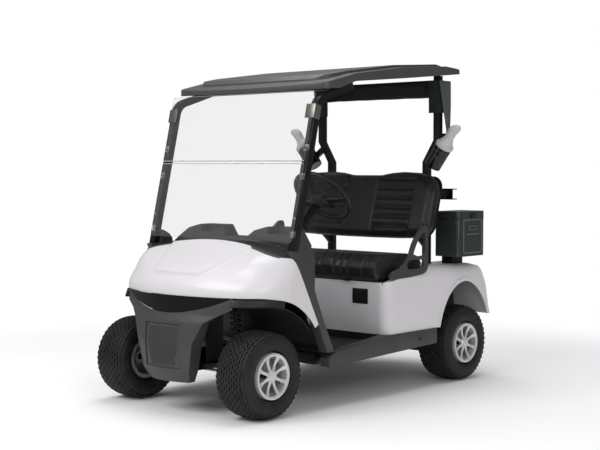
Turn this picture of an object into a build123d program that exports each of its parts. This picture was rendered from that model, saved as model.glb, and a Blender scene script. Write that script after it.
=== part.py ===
from build123d import *
import math
import os

# Two-seat golf cart with a canopy, a fold-down windscreen and a golf-bag rack.
# Millimetres.  +Z is up from the ground, the cart drives towards -Y and its left
# side is +X.  The origin lies on the ground under the middle of the overall box.

os.makedirs("parts", exist_ok=True)

# ---- driving sizes -----------------------------------------------------------
# Running gear
FRONT_AXLE_Y = -920
WHEELBASE = 1670
FRONT_TRACK = 935
REAR_TRACK = 985
TYRE_R = 226
TYRE_W = 210
RIM_R = 101
RIM_W = 150
COVER_R = 122
COVER_OUT = 106          # cover edge outboard of the wheel's middle plane
COVER_WINDOWS = 8
KINGPIN_X = FRONT_TRACK / 2 - 135
KINGPIN_R = 11
STEER_ARM = 130          # kingpin to tie-rod stud
STEER_ARM_Z = 202
STUD_R = 6
TUBE_AXLE_R = 34

# Frame
RAIL_X = 130
RAIL_W = 50
RAIL_H = 60
RAIL_KICK = 130          # rise of the rails over the rear axle
RAIL_KICK_Y = (390, 470)
RAIL_FRONT_Y = -1110
RAIL_REAR_Y = 1080

# Floor and cabin
FLOOR_TOP = 300
FLOOR_T = 12
FLOOR_HALF_W = 517
SKIRT_Y = 5              # front panel under the cushion
SKIRT_Z = 343            # lower edge of the rear body
TOE = ((-440, 300), (-600, 480), (-640, 640))   # toe board, (y, z) on its cabin side
MAT_T = 5

# Front body
WALL = 5
BODY_HALF_W = 575
ARCH_R = 385
HOOD_LOW_Z = 618
HOOD_TOP_Z = 883
HOOD_TOP_SIDE_Z = 822    # hood edge beside the strut, at HOOD_TOP_SIDE_X
HOOD_TOP_SIDE_X = 500
SHOULDER_X = 400
VISOR_LOW_Z = 531
VISOR_SETBACK = 3        # visor behind the fascia's face
# cowl plan sections: height, front centre y, shoulder y at SHOULDER_X, side x, side y
COWL_SECTIONS = (
    (400, -1113, -1026, 575, -800),
    (640, -1113, -1026, 575, -800),
    (728, -1065, -968, 574, -774),
    (800, -929, -905, 568, -734),
    (890, -759, -728, 548, -695),
)
COWL_REAR_TOP = (-768, 835)      # (y, z) on the cowl's slanted rear edge
COWL_REAR_LOW = (-597, 497)
COWL_TIP_Z = 413

# bumper plan sections: height, half width, front centre y, edge y
BUMPER_SECTIONS = (
    (169, 150, -1138, -1105),
    (230, 176, -1166, -1134),
    (380, 208, -1172, -1144),
    (490, 262, -1160, -1116),
    (527, 330, -1140, -1072),
    (560, 398, -1130, -1041),
    (617, 399, -1124, -1038),
)
BUMPER_BACK_Y = -1060

# Canopy
STRUT = 40
STRUT_X = 537
STRUT_FOOT = (-735, 850)
STRUT_LEAN = 0.2385      # rearward run for each unit of height
STRUT_BEND_R = 90
REAR_STRUT_X = 376
REAR_STRUT_UP_X = 456
REAR_STRUT_Y = 645
REAR_STRUT_JOG_Z = (1314, 1444)
# roof underside and top, (y, z) from the front edge to the rear edge
ROOF_UNDER = ((-590, 1690), (-406, 1703), (-265, 1747), (161, 1783), (772, 1841))
ROOF_OVER = ((772, 1848), (700, 1864), (560, 1873), (161, 1846), (-265, 1790), (-590, 1712))
ROOF_HALF_W = 575
ROOF_CORNER_R = 110
ROOF_FRONT_R = 60
ROOF_BOW_Y = -505        # front corners; the edge bows forward to the first point of ROOF_UNDER
# raised middle panel, top from its rear edge to its front edge
PANEL_OVER = ((705, 1870), (560, 1889), (161, 1862), (-265, 1806), (-406, 1780), (-446, 1756))
PANEL_W = 1000
PANEL_CORNER_R = 120
PANE_T = 6
PANE_GAP = 3
PANE_HALF_W = 548
PANE_LOW_Z = 886
PANE_FOLD_Z = 1303
PANE_TOP_Z = 1678

# Rear body
REAR_BODY_END_Y = 1010
SIDE_TOP = ((5, 634), (380, 697), (850, 700))   # top edge of the body side, (y, z)
REAR_CORNER_R = 65
DECK_EDGE_R = 70         # rounding between the side and the deck
DECK_EDGE_Z = 703
ARCH_LIP = (22, 7)       # width, height above the side
REAR_ARCH = (268, 372)   # half width and height over the axle
WELL_HALF_W = 322
WELL_FRONT_Y = 690
WELL_REAR_Y = 1172
WELL_T = 6

# Seat
CUSHION_Y = (-48, 415)
CUSHION_Z = (642, 790)
CUSHION_HALF_W = 530
BACK_LOW = (454, 855)
BACK_HIGH = (565.4, 1262)
BACK_CORNER_R = 100
BACK_HALF_W = 552
BACK_T = 90
CUSHION_AXIS = (-20, 642)    # hinge line under the cushion's front edge, (y, z)
SHELL_T = 8

# Steering
WHEEL_CENTRE = (280, -206, 1123)
WHEEL_AXIS = (0, 0.731, 0.682)
WHEEL_RING_R = 168
WHEEL_GRIP_R = 14

WIDE = 1400              # longer than the cart is wide, for cuts right across it

# Worked out from the driving sizes
REAR_AXLE_Y = FRONT_AXLE_Y + WHEELBASE
AXLE_Z = TYRE_R
RAIL_Z = FLOOR_TOP - FLOOR_T - RAIL_H / 2
RAIL_REAR_Z = RAIL_Z + RAIL_KICK
WELL_FLOOR_Z = RAIL_REAR_Z + RAIL_H / 2 + WELL_T
STRUT_TILT = math.atan(STRUT_LEAN)


def strut_y(z):
    """Y of the front strut's centre line at height z."""
    return STRUT_FOOT[0] + STRUT_LEAN * (z - STRUT_FOOT[1])


def under_roof(y):
    """Height of the roof's underside at y."""
    for (y0, z0), (y1, z1) in zip(ROOF_UNDER, ROOF_UNDER[1:]):
        if y <= y1:
            return z0 + (z1 - z0) * (y - y0) / (y1 - y0)
    return ROOF_UNDER[-1][1]


# ---- wheels -------------------------------------------------------------------
# name, centre x, centre y, +1 on the cart's left
WHEELS = (
    ("fl", FRONT_TRACK / 2, FRONT_AXLE_Y, 1),
    ("fr", -FRONT_TRACK / 2, FRONT_AXLE_Y, -1),
    ("rl", REAR_TRACK / 2, REAR_AXLE_Y, 1),
    ("rr", -REAR_TRACK / 2, REAR_AXLE_Y, -1),
)
BEAD_X = RIM_W / 2
BEAD_TOP = COVER_R + 5
SPINDLE_R = 16
RUN_GAP = 0.3            # between parts that turn on one another
HUB_HOLE_R = SPINDLE_R + RUN_GAP
DISC_OUT = 20            # rim disc outboard of the middle plane
DISC_T = 6

for name, wheel_x, wheel_y, side in WHEELS:
    section = Plane((wheel_x, wheel_y, AXLE_Z), x_dir=(side, 0, 0), z_dir=(0, -side, 0))
    spin = Axis((wheel_x, wheel_y, AXLE_Z), (1, 0, 0))

    with BuildPart() as tyre:
        with BuildSketch(section):
            with BuildLine():
                Polyline((4 - BEAD_X, BEAD_TOP), (4 - BEAD_X, RIM_R), (BEAD_X - 4, RIM_R), (BEAD_X - 4, BEAD_TOP))
                Line((BEAD_X - 4, BEAD_TOP), (TYRE_W / 2 - 8, BEAD_TOP + 2))
                ThreePointArc((TYRE_W / 2 - 8, BEAD_TOP + 2), (TYRE_W / 2, 172), (92, 214))
                ThreePointArc((92, 214), (0, TYRE_R), (-92, 214))
                ThreePointArc((-92, 214), (-TYRE_W / 2, 172), (8 - TYRE_W / 2, BEAD_TOP + 2))
                Line((8 - TYRE_W / 2, BEAD_TOP + 2), (4 - BEAD_X, BEAD_TOP))
            make_face()
        revolve(axis=spin)
    tyre.part.label = f"tyre_{name}"
    export_step(tyre.part, f"parts/tyre_{name}.step")

    with BuildPart() as rim:
        with BuildSketch(section):
            with BuildLine():
                Polyline(
                    (-BEAD_X, 92), (DISC_OUT, 92), (DISC_OUT, HUB_HOLE_R), (DISC_OUT + DISC_T, HUB_HOLE_R),
                    (DISC_OUT + DISC_T, 92), (BEAD_X, 92), (BEAD_X, 113), (BEAD_X - 4, 113),
                    (BEAD_X - 4, RIM_R), (4 - BEAD_X, RIM_R), (4 - BEAD_X, 113), (-BEAD_X, 113),
                    close=True,
                )
            make_face()
        revolve(axis=spin)
        with BuildSketch(section):
            with Locations((DISC_OUT - 20, HUB_HOLE_R + 10)):
                Rectangle(40, 20)
        revolve(axis=spin)
    rim.part.label = f"rim_{name}"
    export_step(rim.part, f"parts/rim_{name}.step")

    face = Plane((wheel_x, wheel_y, AXLE_Z), x_dir=(0, side, 0), z_dir=(side, 0, 0))
    with BuildPart() as cover:
        with BuildSketch(section):
            with BuildLine():
                Polyline((BEAD_X + 0.3, 100), (BEAD_X + 0.3, COVER_R), (COVER_OUT, COVER_R - 4), (COVER_OUT, 108))
                ThreePointArc((COVER_OUT, 108), (COVER_OUT - 14, 70), (COVER_OUT - 12, 30))
                Polyline(
                    (COVER_OUT - 12, 30), (COVER_OUT - 4, 24), (COVER_OUT - 4, 0), (COVER_OUT - 18, 0),
                    (COVER_OUT - 18, 70), (COVER_OUT - 9, 100), (BEAD_X + 0.3, 100),
                )
            make_face()
        revolve(axis=spin)
        with BuildSketch(face):
            with PolarLocations(0, COVER_WINDOWS):
                Polygon(
                    (33, -4), (62, -18), (98, -27), (103, 0), (98, 27), (62, 18), (33, 4), align=None
                )
        extrude(amount=COVER_OUT + 10, mode=Mode.SUBTRACT)
    cover.part.label = f"wheel_cover_{name}"
    export_step(cover.part, f"parts/wheel_cover_{name}.step")

# ---- steering knuckles ---------------------------------------------------------
LUG_LOW_Z = (150, 168)
LUG_HIGH_Z = (300, 318)
BARREL_R = 21
STUD_LOW_Z = 172

for name, side in (("left", 1), ("right", -1)):
    pin_x = side * KINGPIN_X
    stud_x = pin_x
    stud_y = FRONT_AXLE_Y + STEER_ARM
    with BuildPart() as knuckle:
        with BuildSketch(Plane.XY.offset(LUG_LOW_Z[1] + RUN_GAP)):
            with Locations((pin_x, FRONT_AXLE_Y)):
                Circle(BARREL_R)
        extrude(amount=LUG_HIGH_Z[0] - LUG_LOW_Z[1] - 2 * RUN_GAP)
        with BuildSketch(Plane.YZ.offset(pin_x)):
            with Locations((FRONT_AXLE_Y, AXLE_Z)):
                Circle(SPINDLE_R)
        extrude(amount=side * (FRONT_TRACK / 2 + DISC_OUT + DISC_T + 22 - KINGPIN_X))
        with BuildSketch(Plane.XY.offset(STEER_ARM_Z)):
            with BuildLine():
                Polyline(
                    (pin_x - 14, FRONT_AXLE_Y), (pin_x + 14, FRONT_AXLE_Y), (stud_x + 14, stud_y + 12),
                    (stud_x - 14, stud_y + 12), close=True,
                )
            make_face()
        extrude(amount=14)
        with BuildSketch(Plane.XY.offset(STUD_LOW_Z)):
            with Locations((stud_x, stud_y)):
                Circle(STUD_R)
        extrude(amount=STEER_ARM_Z - STUD_LOW_Z)
        with Locations((pin_x, FRONT_AXLE_Y, AXLE_Z)):
            Cylinder(KINGPIN_R + RUN_GAP, 200, mode=Mode.SUBTRACT)
    knuckle.part.label = f"knuckle_{name}"
    export_step(knuckle.part, f"parts/knuckle_{name}.step")

ROD_R = 8
ROD_Z = STUD_LOW_Z + 12
STUD_X = KINGPIN_X
STUD_Y = FRONT_AXLE_Y + STEER_ARM
EYE_PLAY = 0.9           # between stud and slot, across the rod
EYE_DRIFT = 18           # room for the stud's forward drift at full lock
EYE_T = 12

with BuildPart() as tie_rod:
    with BuildSketch(Plane.YZ.offset(-STUD_X + 10)):
        with Locations((STUD_Y, ROD_Z)):
            Circle(ROD_R)
    extrude(amount=2 * STUD_X - 20)
    with BuildSketch(Plane.XY.offset(ROD_Z - EYE_T / 2)):
        for x in (-STUD_X, STUD_X):
            with Locations((x, STUD_Y - EYE_DRIFT / 2)):
                RectangleRounded(2 * (STUD_R + EYE_PLAY + 6), 2 * (STUD_R + 7) + EYE_DRIFT, STUD_R + EYE_PLAY + 5)
    extrude(amount=EYE_T)
    with BuildSketch(Plane.XY.offset(ROD_Z - EYE_T)):
        for x in (-STUD_X, STUD_X):
            with Locations((x, STUD_Y - EYE_DRIFT / 2)):
                Rectangle(2 * (STUD_R + EYE_PLAY), 2 * (STUD_R + 1.5) + EYE_DRIFT)
    extrude(amount=2 * EYE_T, mode=Mode.SUBTRACT)
tie_rod.part.label = "tie_rod"
export_step(tie_rod.part, "parts/tie_rod.step")

# ---- frame ----------------------------------------------------------------------
SPRING_HALF = 250
# cross members: y, half width, centre z
CROSSERS = (
    (RAIL_FRONT_Y + 20, RAIL_X, RAIL_Z),
    (-480, 480, RAIL_Z),
    (-200, 500, RAIL_Z),
    (340, 480, RAIL_Z),
    (REAR_AXLE_Y - SPRING_HALF, 325, RAIL_REAR_Z),
    (REAR_AXLE_Y + SPRING_HALF, 325, RAIL_REAR_Z),
)
TOWER_Z = 606
TOWER_HALF_W = 350
TOWER_POST = 40
HITCH_T = 8
HITCH_SPACING = (90, 60)
HITCH_HOLE_R = 5.5

def bumper_loft(inset):
    """Closed solid inside the bumper's skin, drawn in by inset."""
    with BuildPart() as shape:
        for z, half_w, y_front, y_edge in BUMPER_SECTIONS:
            w = half_w - inset
            with BuildSketch(Plane.XY.offset(z)):
                with BuildLine():
                    ThreePointArc((-w, y_edge + inset), (0, y_front + inset), (w, y_edge + inset))
                    y_back = max(BUMPER_BACK_Y, y_edge + 12) + inset
                    Polyline((w, y_edge + inset), (w - 8, y_back), (8 - w, y_back), (-w, y_edge + inset))
                make_face()
        loft(ruled=True)
    return shape.part


BRACKET_Z = (198, 230)
bumper_inside = bumper_loft(WALL)

with BuildPart() as bumper_brackets:
    for x in (-RAIL_X, RAIL_X):
        with Locations((x, RAIL_FRONT_Y - 30, (BRACKET_Z[0] + BRACKET_Z[1]) / 2)):
            Box(34, 140, BRACKET_Z[1] - BRACKET_Z[0])
    add(bumper_inside, mode=Mode.INTERSECT)

with BuildPart() as frame:
    add(bumper_brackets.part)
    for x in (-RAIL_X, RAIL_X):
        with BuildLine(Plane.YZ.offset(x)) as rail_line:
            Polyline(
                (RAIL_FRONT_Y, RAIL_Z), (RAIL_KICK_Y[0], RAIL_Z), (RAIL_KICK_Y[1], RAIL_REAR_Z),
                (RAIL_REAR_Y, RAIL_REAR_Z),
            )
        with BuildSketch(Plane((x, RAIL_FRONT_Y, RAIL_Z), x_dir=(1, 0, 0), z_dir=(0, 1, 0))):
            Rectangle(RAIL_W, RAIL_H)
        sweep(path=rail_line.line, transition=Transition.RIGHT)
    for y, half_w, z in CROSSERS:
        with Locations((0, y, z)):
            Box(2 * half_w, 40, RAIL_H)
    for x in (-RAIL_X, RAIL_X):
        with Locations((x, FRONT_AXLE_Y, (RAIL_Z + TOWER_Z) / 2)):
            Box(TOWER_POST, 50, TOWER_Z - RAIL_Z)
    with Locations((0, FRONT_AXLE_Y, TOWER_Z + 15)):
        Box(2 * TOWER_HALF_W, 60, 30)
    with Locations((0, RAIL_REAR_Y - 10 + HITCH_T / 2, RAIL_REAR_Z - 60)):
        Box(2 * RAIL_X + RAIL_W, HITCH_T, 120)
    with BuildSketch(Plane.XZ.offset(-(RAIL_REAR_Y + 40))):
        with Locations((0, RAIL_REAR_Z - 80)):
            with GridLocations(HITCH_SPACING[0], HITCH_SPACING[1], 2, 2):
                Circle(HITCH_HOLE_R)
    extrude(amount=60, mode=Mode.SUBTRACT)
frame.part.label = "frame"
export_step(frame.part, "parts/frame.step")

# ---- front suspension -------------------------------------------------------------
YOKE_X = (KINGPIN_X - 61, KINGPIN_X - 47)
ARM_Y = 95
COIL_X = KINGPIN_X - 29
COIL_R = 29
COIL_LOW_Z = LUG_HIGH_Z[1] + 60
DAMPER_R = 9

with BuildPart() as front_suspension:
    with BuildSketch(Plane.XZ.offset(-(FRONT_AXLE_Y + 20))):
        with BuildLine():
            Polyline(
                (YOKE_X[0], LUG_LOW_Z[0]), (KINGPIN_X + 20, LUG_LOW_Z[0]), (KINGPIN_X + 20, LUG_LOW_Z[1]),
                (YOKE_X[1], LUG_LOW_Z[1]), (YOKE_X[1], LUG_HIGH_Z[0]), (KINGPIN_X + 20, LUG_HIGH_Z[0]),
                (KINGPIN_X + 20, LUG_HIGH_Z[1]), (YOKE_X[0], LUG_HIGH_Z[1]), close=True,
            )
        make_face()
    extrude(amount=40)
    with BuildSketch(Plane.XY.offset(RAIL_Z - 20)):
        for end in (-1, 1):
            with BuildLine():
                Polyline(
                    (RAIL_X + RAIL_W / 2, FRONT_AXLE_Y + end * ARM_Y), (YOKE_X[0] + 4, FRONT_AXLE_Y + end * 20),
                    (YOKE_X[0] + 4, FRONT_AXLE_Y - end * 4), (RAIL_X + RAIL_W / 2, FRONT_AXLE_Y + end * (ARM_Y - 30)),
                    close=True,
                )
            make_face()
    extrude(amount=26)
    with BuildSketch(Plane.XY.offset(LUG_HIGH_Z[1])):
        with Locations((COIL_X, FRONT_AXLE_Y)):
            Circle(DAMPER_R)
    extrude(amount=TOWER_Z - LUG_HIGH_Z[1])
    with BuildSketch(Plane.XY.offset(COIL_LOW_Z - 6)):
        with Locations((COIL_X, FRONT_AXLE_Y)):
            Circle(COIL_R + 3)
    extrude(amount=6)
    with Locations((KINGPIN_X, FRONT_AXLE_Y, AXLE_Z)):
        Cylinder(KINGPIN_R, 400, mode=Mode.SUBTRACT)
    mirror(about=Plane.YZ)
front_suspension.part.label = "front_suspension"
export_step(front_suspension.part, "parts/front_suspension.step")

with BuildPart() as coil_springs:
    with BuildSketch(Plane.XY.offset(COIL_LOW_Z)):
        with Locations((COIL_X, FRONT_AXLE_Y)):
            Circle(COIL_R)
            Circle(COIL_R - 9, mode=Mode.SUBTRACT)
    extrude(amount=TOWER_Z - COIL_LOW_Z)
    mirror(about=Plane.YZ)
coil_springs.part.label = "coil_springs"
export_step(coil_springs.part, "parts/coil_springs.step")

PIN_HEAD = (17, 6)       # radius, height
with BuildPart() as kingpins:
    with BuildSketch(Plane.XY.offset(LUG_LOW_Z[0])):
        with Locations((KINGPIN_X, FRONT_AXLE_Y)):
            Circle(KINGPIN_R)
    extrude(amount=LUG_HIGH_Z[1] - LUG_LOW_Z[0])
    with BuildSketch(Plane.XY.offset(LUG_LOW_Z[0] - PIN_HEAD[1])):
        with Locations((KINGPIN_X, FRONT_AXLE_Y)):
            Circle(PIN_HEAD[0])
    extrude(amount=PIN_HEAD[1])
    mirror(about=Plane.YZ)
kingpins.part.label = "kingpins"
export_step(kingpins.part, "parts/kingpins.step")

# ---- rear axle and suspension -------------------------------------------------------
SPRING_X = 300
SPRING_W = 50
SPRING_T = 24
MOTOR_R = 88
DIFF_R = 100

with BuildPart() as rear_axle:
    with BuildSketch(Plane.YZ.offset(-(REAR_TRACK / 2 - 42))):
        with Locations((REAR_AXLE_Y, AXLE_Z)):
            Circle(TUBE_AXLE_R)
    extrude(amount=REAR_TRACK - 84)
    with BuildSketch(Plane.YZ.offset(-(REAR_TRACK / 2 + DISC_OUT + DISC_T + 20))):
        with Locations((REAR_AXLE_Y, AXLE_Z)):
            Circle(SPINDLE_R)
    extrude(amount=REAR_TRACK + 2 * (DISC_OUT + DISC_T + 20))
    with BuildSketch(Plane.YZ.offset(-70)):
        with Locations((REAR_AXLE_Y, AXLE_Z)):
            Circle(DIFF_R)
    extrude(amount=140)
    with BuildSketch(Plane.YZ.offset(60)):
        with Locations((REAR_AXLE_Y + 40, AXLE_Z)):
            Circle(MOTOR_R)
    extrude(amount=190)
    for x in (-SPRING_X, SPRING_X):
        with Locations((x, REAR_AXLE_Y, AXLE_Z + TUBE_AXLE_R / 2 + 3)):
            Box(SPRING_W + 10, 40, TUBE_AXLE_R + 6)
rear_axle.part.label = "rear_axle"
export_step(rear_axle.part, "parts/rear_axle.step")

SPRING_SEAT_Z = AXLE_Z + TUBE_AXLE_R + 6
SPRING_Y = (REAR_AXLE_Y - SPRING_HALF, REAR_AXLE_Y + SPRING_HALF)
SHOCK_X = 240

with BuildPart() as rear_suspension:
    with BuildSketch(Plane.YZ.offset(SPRING_X - SPRING_W / 2)):
        with BuildLine():
            mid_y = REAR_AXLE_Y
            eye_z = SPRING_SEAT_Z + 40
            ThreePointArc((SPRING_Y[0], eye_z), (mid_y, SPRING_SEAT_Z), (SPRING_Y[1], eye_z))
            Line((SPRING_Y[1], eye_z), (SPRING_Y[1], eye_z + SPRING_T))
            ThreePointArc(
                (SPRING_Y[1], eye_z + SPRING_T), (mid_y, SPRING_SEAT_Z + SPRING_T), (SPRING_Y[0], eye_z + SPRING_T)
            )
            Line((SPRING_Y[0], eye_z + SPRING_T), (SPRING_Y[0], eye_z))
        make_face()
    extrude(amount=SPRING_W)
    for y in SPRING_Y:
        with BuildSketch(Plane.XY.offset(eye_z)):
            with Locations((SPRING_X, y)):
                Rectangle(SPRING_W, 30)
        extrude(amount=RAIL_REAR_Z - RAIL_H / 2 - eye_z)
    mirror(about=Plane.YZ)
rear_suspension.part.label = "rear_suspension"
export_step(rear_suspension.part, "parts/rear_suspension.step")

BATTERY = (300, 300, 240)
with BuildPart() as battery:
    with Locations((0, 190, FLOOR_TOP + BATTERY[2] / 2)):
        Box(*BATTERY)
battery.part.label = "battery"
export_step(battery.part, "parts/battery.step")

# ---- floor ------------------------------------------------------------------------
FLOOR_REAR_Y = 370
UPSTAND_T = 8
UPSTAND_Y = SKIRT_Y + 1  # upstand that carries the skirt panel
COLUMN_BRACKET = (150, 140)      # width, height above the toe board

with BuildPart() as floor:
    with BuildSketch(Plane.YZ.offset(-FLOOR_HALF_W)):
        with BuildLine():
            Polyline(
                (FLOOR_REAR_Y, FLOOR_TOP), (UPSTAND_Y + UPSTAND_T, FLOOR_TOP), (UPSTAND_Y + UPSTAND_T, SKIRT_Z),
                (UPSTAND_Y, SKIRT_Z), (UPSTAND_Y, FLOOR_TOP), TOE[0], TOE[1], TOE[2],
                (TOE[2][0] - FLOOR_T, TOE[2][1]), (TOE[1][0] - FLOOR_T, TOE[1][1] + 3),
                (TOE[0][0] - FLOOR_T / 2, FLOOR_TOP - FLOOR_T), (FLOOR_REAR_Y, FLOOR_TOP - FLOOR_T), close=True,
            )
        make_face()
    extrude(amount=2 * FLOOR_HALF_W)
    # bracket that carries the foot of the steering column
    with Locations((WHEEL_CENTRE[0], TOE[2][0] - FLOOR_T / 2, TOE[2][1] + COLUMN_BRACKET[1] / 2 - 10)):
        Box(COLUMN_BRACKET[0], FLOOR_T, COLUMN_BRACKET[1] + 20)
floor.part.label = "floor"
export_step(floor.part, "parts/floor.step")

with BuildPart() as floor_mat:
    with BuildSketch(Plane.XY.offset(FLOOR_TOP)):
        with Locations((0, (TOE[0][0] + SKIRT_Y) / 2)):
            RectangleRounded(2 * FLOOR_HALF_W - 60, SKIRT_Y - TOE[0][0] - 20, 20)
    extrude(amount=MAT_T)
floor_mat.part.label = "floor_mat"
export_step(floor_mat.part, "parts/floor_mat.step")

# ---- front body ---------------------------------------------------------------------


def cowl_loft(inset):
    """Closed solid inside the cowl's skin, drawn in by inset on the front and the sides."""
    with BuildPart() as shape:
        for z, y_front, y_shoulder, x_side, y_side in COWL_SECTIONS:
            xs = SHOULDER_X - inset
            xe = x_side - inset
            with BuildSketch(Plane.XY.offset(z)):
                with BuildLine():
                    ThreePointArc((-xs, y_shoulder + inset), (0, y_front + inset), (xs, y_shoulder + inset))
                    bulge = (xs + 0.62 * (xe - xs), y_shoulder + inset + 0.38 * (y_side - y_shoulder))
                    ThreePointArc((xs, y_shoulder + inset), bulge, (xe, y_side + inset))
                    Polyline((xe, y_side + inset), (xe, -480), (-xe, -480), (-xe, y_side + inset))
                    ThreePointArc((-xe, y_side + inset), (-bulge[0], bulge[1]), (-xs, y_shoulder + inset))
                make_face()
        loft()
    return shape.part


outer_cowl = cowl_loft(0)
inner_cowl = cowl_loft(WALL)

with BuildPart() as cowl:
    add(outer_cowl)
    add(inner_cowl, mode=Mode.SUBTRACT)
    # behind the slanted rear edge
    slope = (COWL_REAR_LOW[0] - COWL_REAR_TOP[0]) / (COWL_REAR_LOW[1] - COWL_REAR_TOP[1])
    with BuildSketch(Plane.YZ.offset(-WIDE / 2)):
        with BuildLine():
            Polyline(
                (COWL_REAR_TOP[0] + slope * (1000 - COWL_REAR_TOP[1]), 1000), (0, 1000), (0, 300),
                (COWL_REAR_LOW[0] - 10, 300), COWL_REAR_LOW, close=True,
            )
        make_face()
    extrude(amount=WIDE, mode=Mode.SUBTRACT)
    # wheel arch
    with BuildSketch(Plane.YZ.offset(-WIDE / 2)):
        with Locations((FRONT_AXLE_Y, AXLE_Z)):
            Circle(ARCH_R)
    extrude(amount=WIDE, mode=Mode.SUBTRACT)
    # everything under the hood's front edge and under the fender's tip
    with Locations((0, FRONT_AXLE_Y - 300, HOOD_LOW_Z - 200)):
        Box(WIDE, 600, 400, mode=Mode.SUBTRACT)
    with Locations((0, FRONT_AXLE_Y + 300, COWL_TIP_Z - 100)):
        Box(WIDE, 600, 200, mode=Mode.SUBTRACT)
    # crowned top edge in front of the dash
    with BuildSketch(Plane.XZ.offset(400)):
        with BuildLine():
            rim_z = HOOD_TOP_SIDE_Z
            hood_arc = ThreePointArc((-HOOD_TOP_SIDE_X, rim_z), (0, HOOD_TOP_Z), (HOOD_TOP_SIDE_X, rim_z))
            Polyline(
                hood_arc @ 1, (700, rim_z - 30), (700, 1100), (-700, 1100), (-700, rim_z - 30), hood_arc @ 0
            )
        make_face()
    extrude(amount=800, mode=Mode.SUBTRACT)
cowl.part.label = "cowl"
export_step(cowl.part, "parts/cowl.step")

def under_hood(grow):
    """Prism over the crescent between the visor's lower arc and the hood's edge."""
    with BuildPart() as shape:
        with BuildSketch(Plane.XZ.offset(1000)):
            with BuildLine():
                tip = (SHOULDER_X - 8 + grow, HOOD_LOW_Z - 1)
                ThreePointArc((-tip[0], tip[1]), (0, VISOR_LOW_Z - grow), tip)
                Polyline(tip, (tip[0], tip[1] + grow), (-tip[0], tip[1] + grow), (-tip[0], tip[1]))
            make_face()
        extrude(amount=300)
    return shape.part


with BuildPart() as visor:
    add(bumper_loft(VISOR_SETBACK))
    add(bumper_loft(VISOR_SETBACK + WALL), mode=Mode.SUBTRACT)
    add(under_hood(0.1), mode=Mode.INTERSECT)
visor.part.label = "visor"
export_step(visor.part, "parts/visor.step")


with BuildPart() as bumper:
    add(bumper_loft(0))
    add(bumper_loft(WALL), mode=Mode.SUBTRACT)
    add(under_hood(RUN_GAP + 2), mode=Mode.SUBTRACT)
    with Locations((0, BUMPER_BACK_Y - 100, 359)):
        Box(264, 150, 230, mode=Mode.SUBTRACT)
bumper.part.label = "bumper"
export_step(bumper.part, "parts/bumper.step")

# black flare under the fender's front edge
FLARE_BAND = 36
with BuildPart() as fender_flares:
    add(outer_cowl)
    add(cowl_loft(WALL + 3), mode=Mode.SUBTRACT)
    with BuildSketch(Plane.YZ.offset(SHOULDER_X + RUN_GAP)):
        with BuildLine():
            arch_low = ARCH_R - FLARE_BAND
            arch_high = ARCH_R - RUN_GAP
            end = math.radians(76)
            low_end = (FRONT_AXLE_Y + arch_low * math.cos(end), AXLE_Z + arch_low * math.sin(end))
            high_end = (FRONT_AXLE_Y + arch_high * math.cos(end), AXLE_Z + arch_high * math.sin(end))
            Line((FRONT_AXLE_Y - 200, AXLE_Z + arch_low), (FRONT_AXLE_Y, AXLE_Z + arch_low))
            RadiusArc((FRONT_AXLE_Y, AXLE_Z + arch_low), low_end, arch_low)
            Line(low_end, high_end)
            RadiusArc(high_end, (FRONT_AXLE_Y, AXLE_Z + arch_high), -arch_high)
            Polyline(
                (FRONT_AXLE_Y, AXLE_Z + arch_high), (FRONT_AXLE_Y - 200, AXLE_Z + arch_high),
                (FRONT_AXLE_Y - 200, AXLE_Z + arch_low),
            )
        make_face()
    extrude(amount=200, mode=Mode.INTERSECT)
    mirror(about=Plane.YZ)
fender_flares.part.label = "fender_flares"
export_step(fender_flares.part, "parts/fender_flares.step")

# perforated panel behind a window in the bumper
PANEL_HALF_W = 142
PANEL_Z = (234, 484)
PANEL_LAP = 10
PANEL_T = 3
with BuildPart() as grille_panel:
    add(bumper_loft(WALL))
    add(bumper_loft(WALL + PANEL_T), mode=Mode.SUBTRACT)
    with Locations((0, BUMPER_BACK_Y - 100, (PANEL_Z[0] + PANEL_Z[1]) / 2)):
        Box(2 * PANEL_HALF_W, 150, PANEL_Z[1] - PANEL_Z[0], mode=Mode.INTERSECT)
grille_panel.part.label = "grille_panel"
export_step(grille_panel.part, "parts/grille_panel.step")

LINER_T = 4
LINER_X = 186
LINER_LOW_Z = 275
LINER_R = ARCH_R - FLARE_BAND - LINER_T
with BuildPart() as wheel_liners:
    with BuildSketch(Plane.YZ.offset(LINER_X)):
        with BuildLine():
            low = math.radians(32)
            a = (FRONT_AXLE_Y + LINER_R * math.cos(low), AXLE_Z + LINER_R * math.sin(low))
            top_pt = (FRONT_AXLE_Y, AXLE_Z + LINER_R)
            b = (FRONT_AXLE_Y - 104, AXLE_Z + LINER_R)
            RadiusArc(a, top_pt, -LINER_R)
            Polyline(top_pt, b, (b[0], b[1] + LINER_T), (top_pt[0], top_pt[1] + LINER_T))
            out_r = LINER_R + LINER_T
            c = (FRONT_AXLE_Y + out_r * math.cos(low), AXLE_Z + out_r * math.sin(low))
            RadiusArc((top_pt[0], top_pt[1] + LINER_T), c, out_r)
            Line(c, a)
        make_face()
    extrude(amount=400)
    add(cowl_loft(WALL + 3), mode=Mode.INTERSECT)
    with Locations((COIL_X, FRONT_AXLE_Y, TOWER_Z)):
        Cylinder(COIL_R + 8, 200, mode=Mode.SUBTRACT)
    # inner wall beside the frame
    with Locations((LINER_X + LINER_T / 2, b[0] + 62, (LINER_LOW_Z + b[1] + 1) / 2)):
        Box(LINER_T, 124, b[1] + 1 - LINER_LOW_Z)
    mirror(about=Plane.YZ)
wheel_liners.part.label = "wheel_liners"
export_step(wheel_liners.part, "parts/wheel_liners.step")

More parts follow.
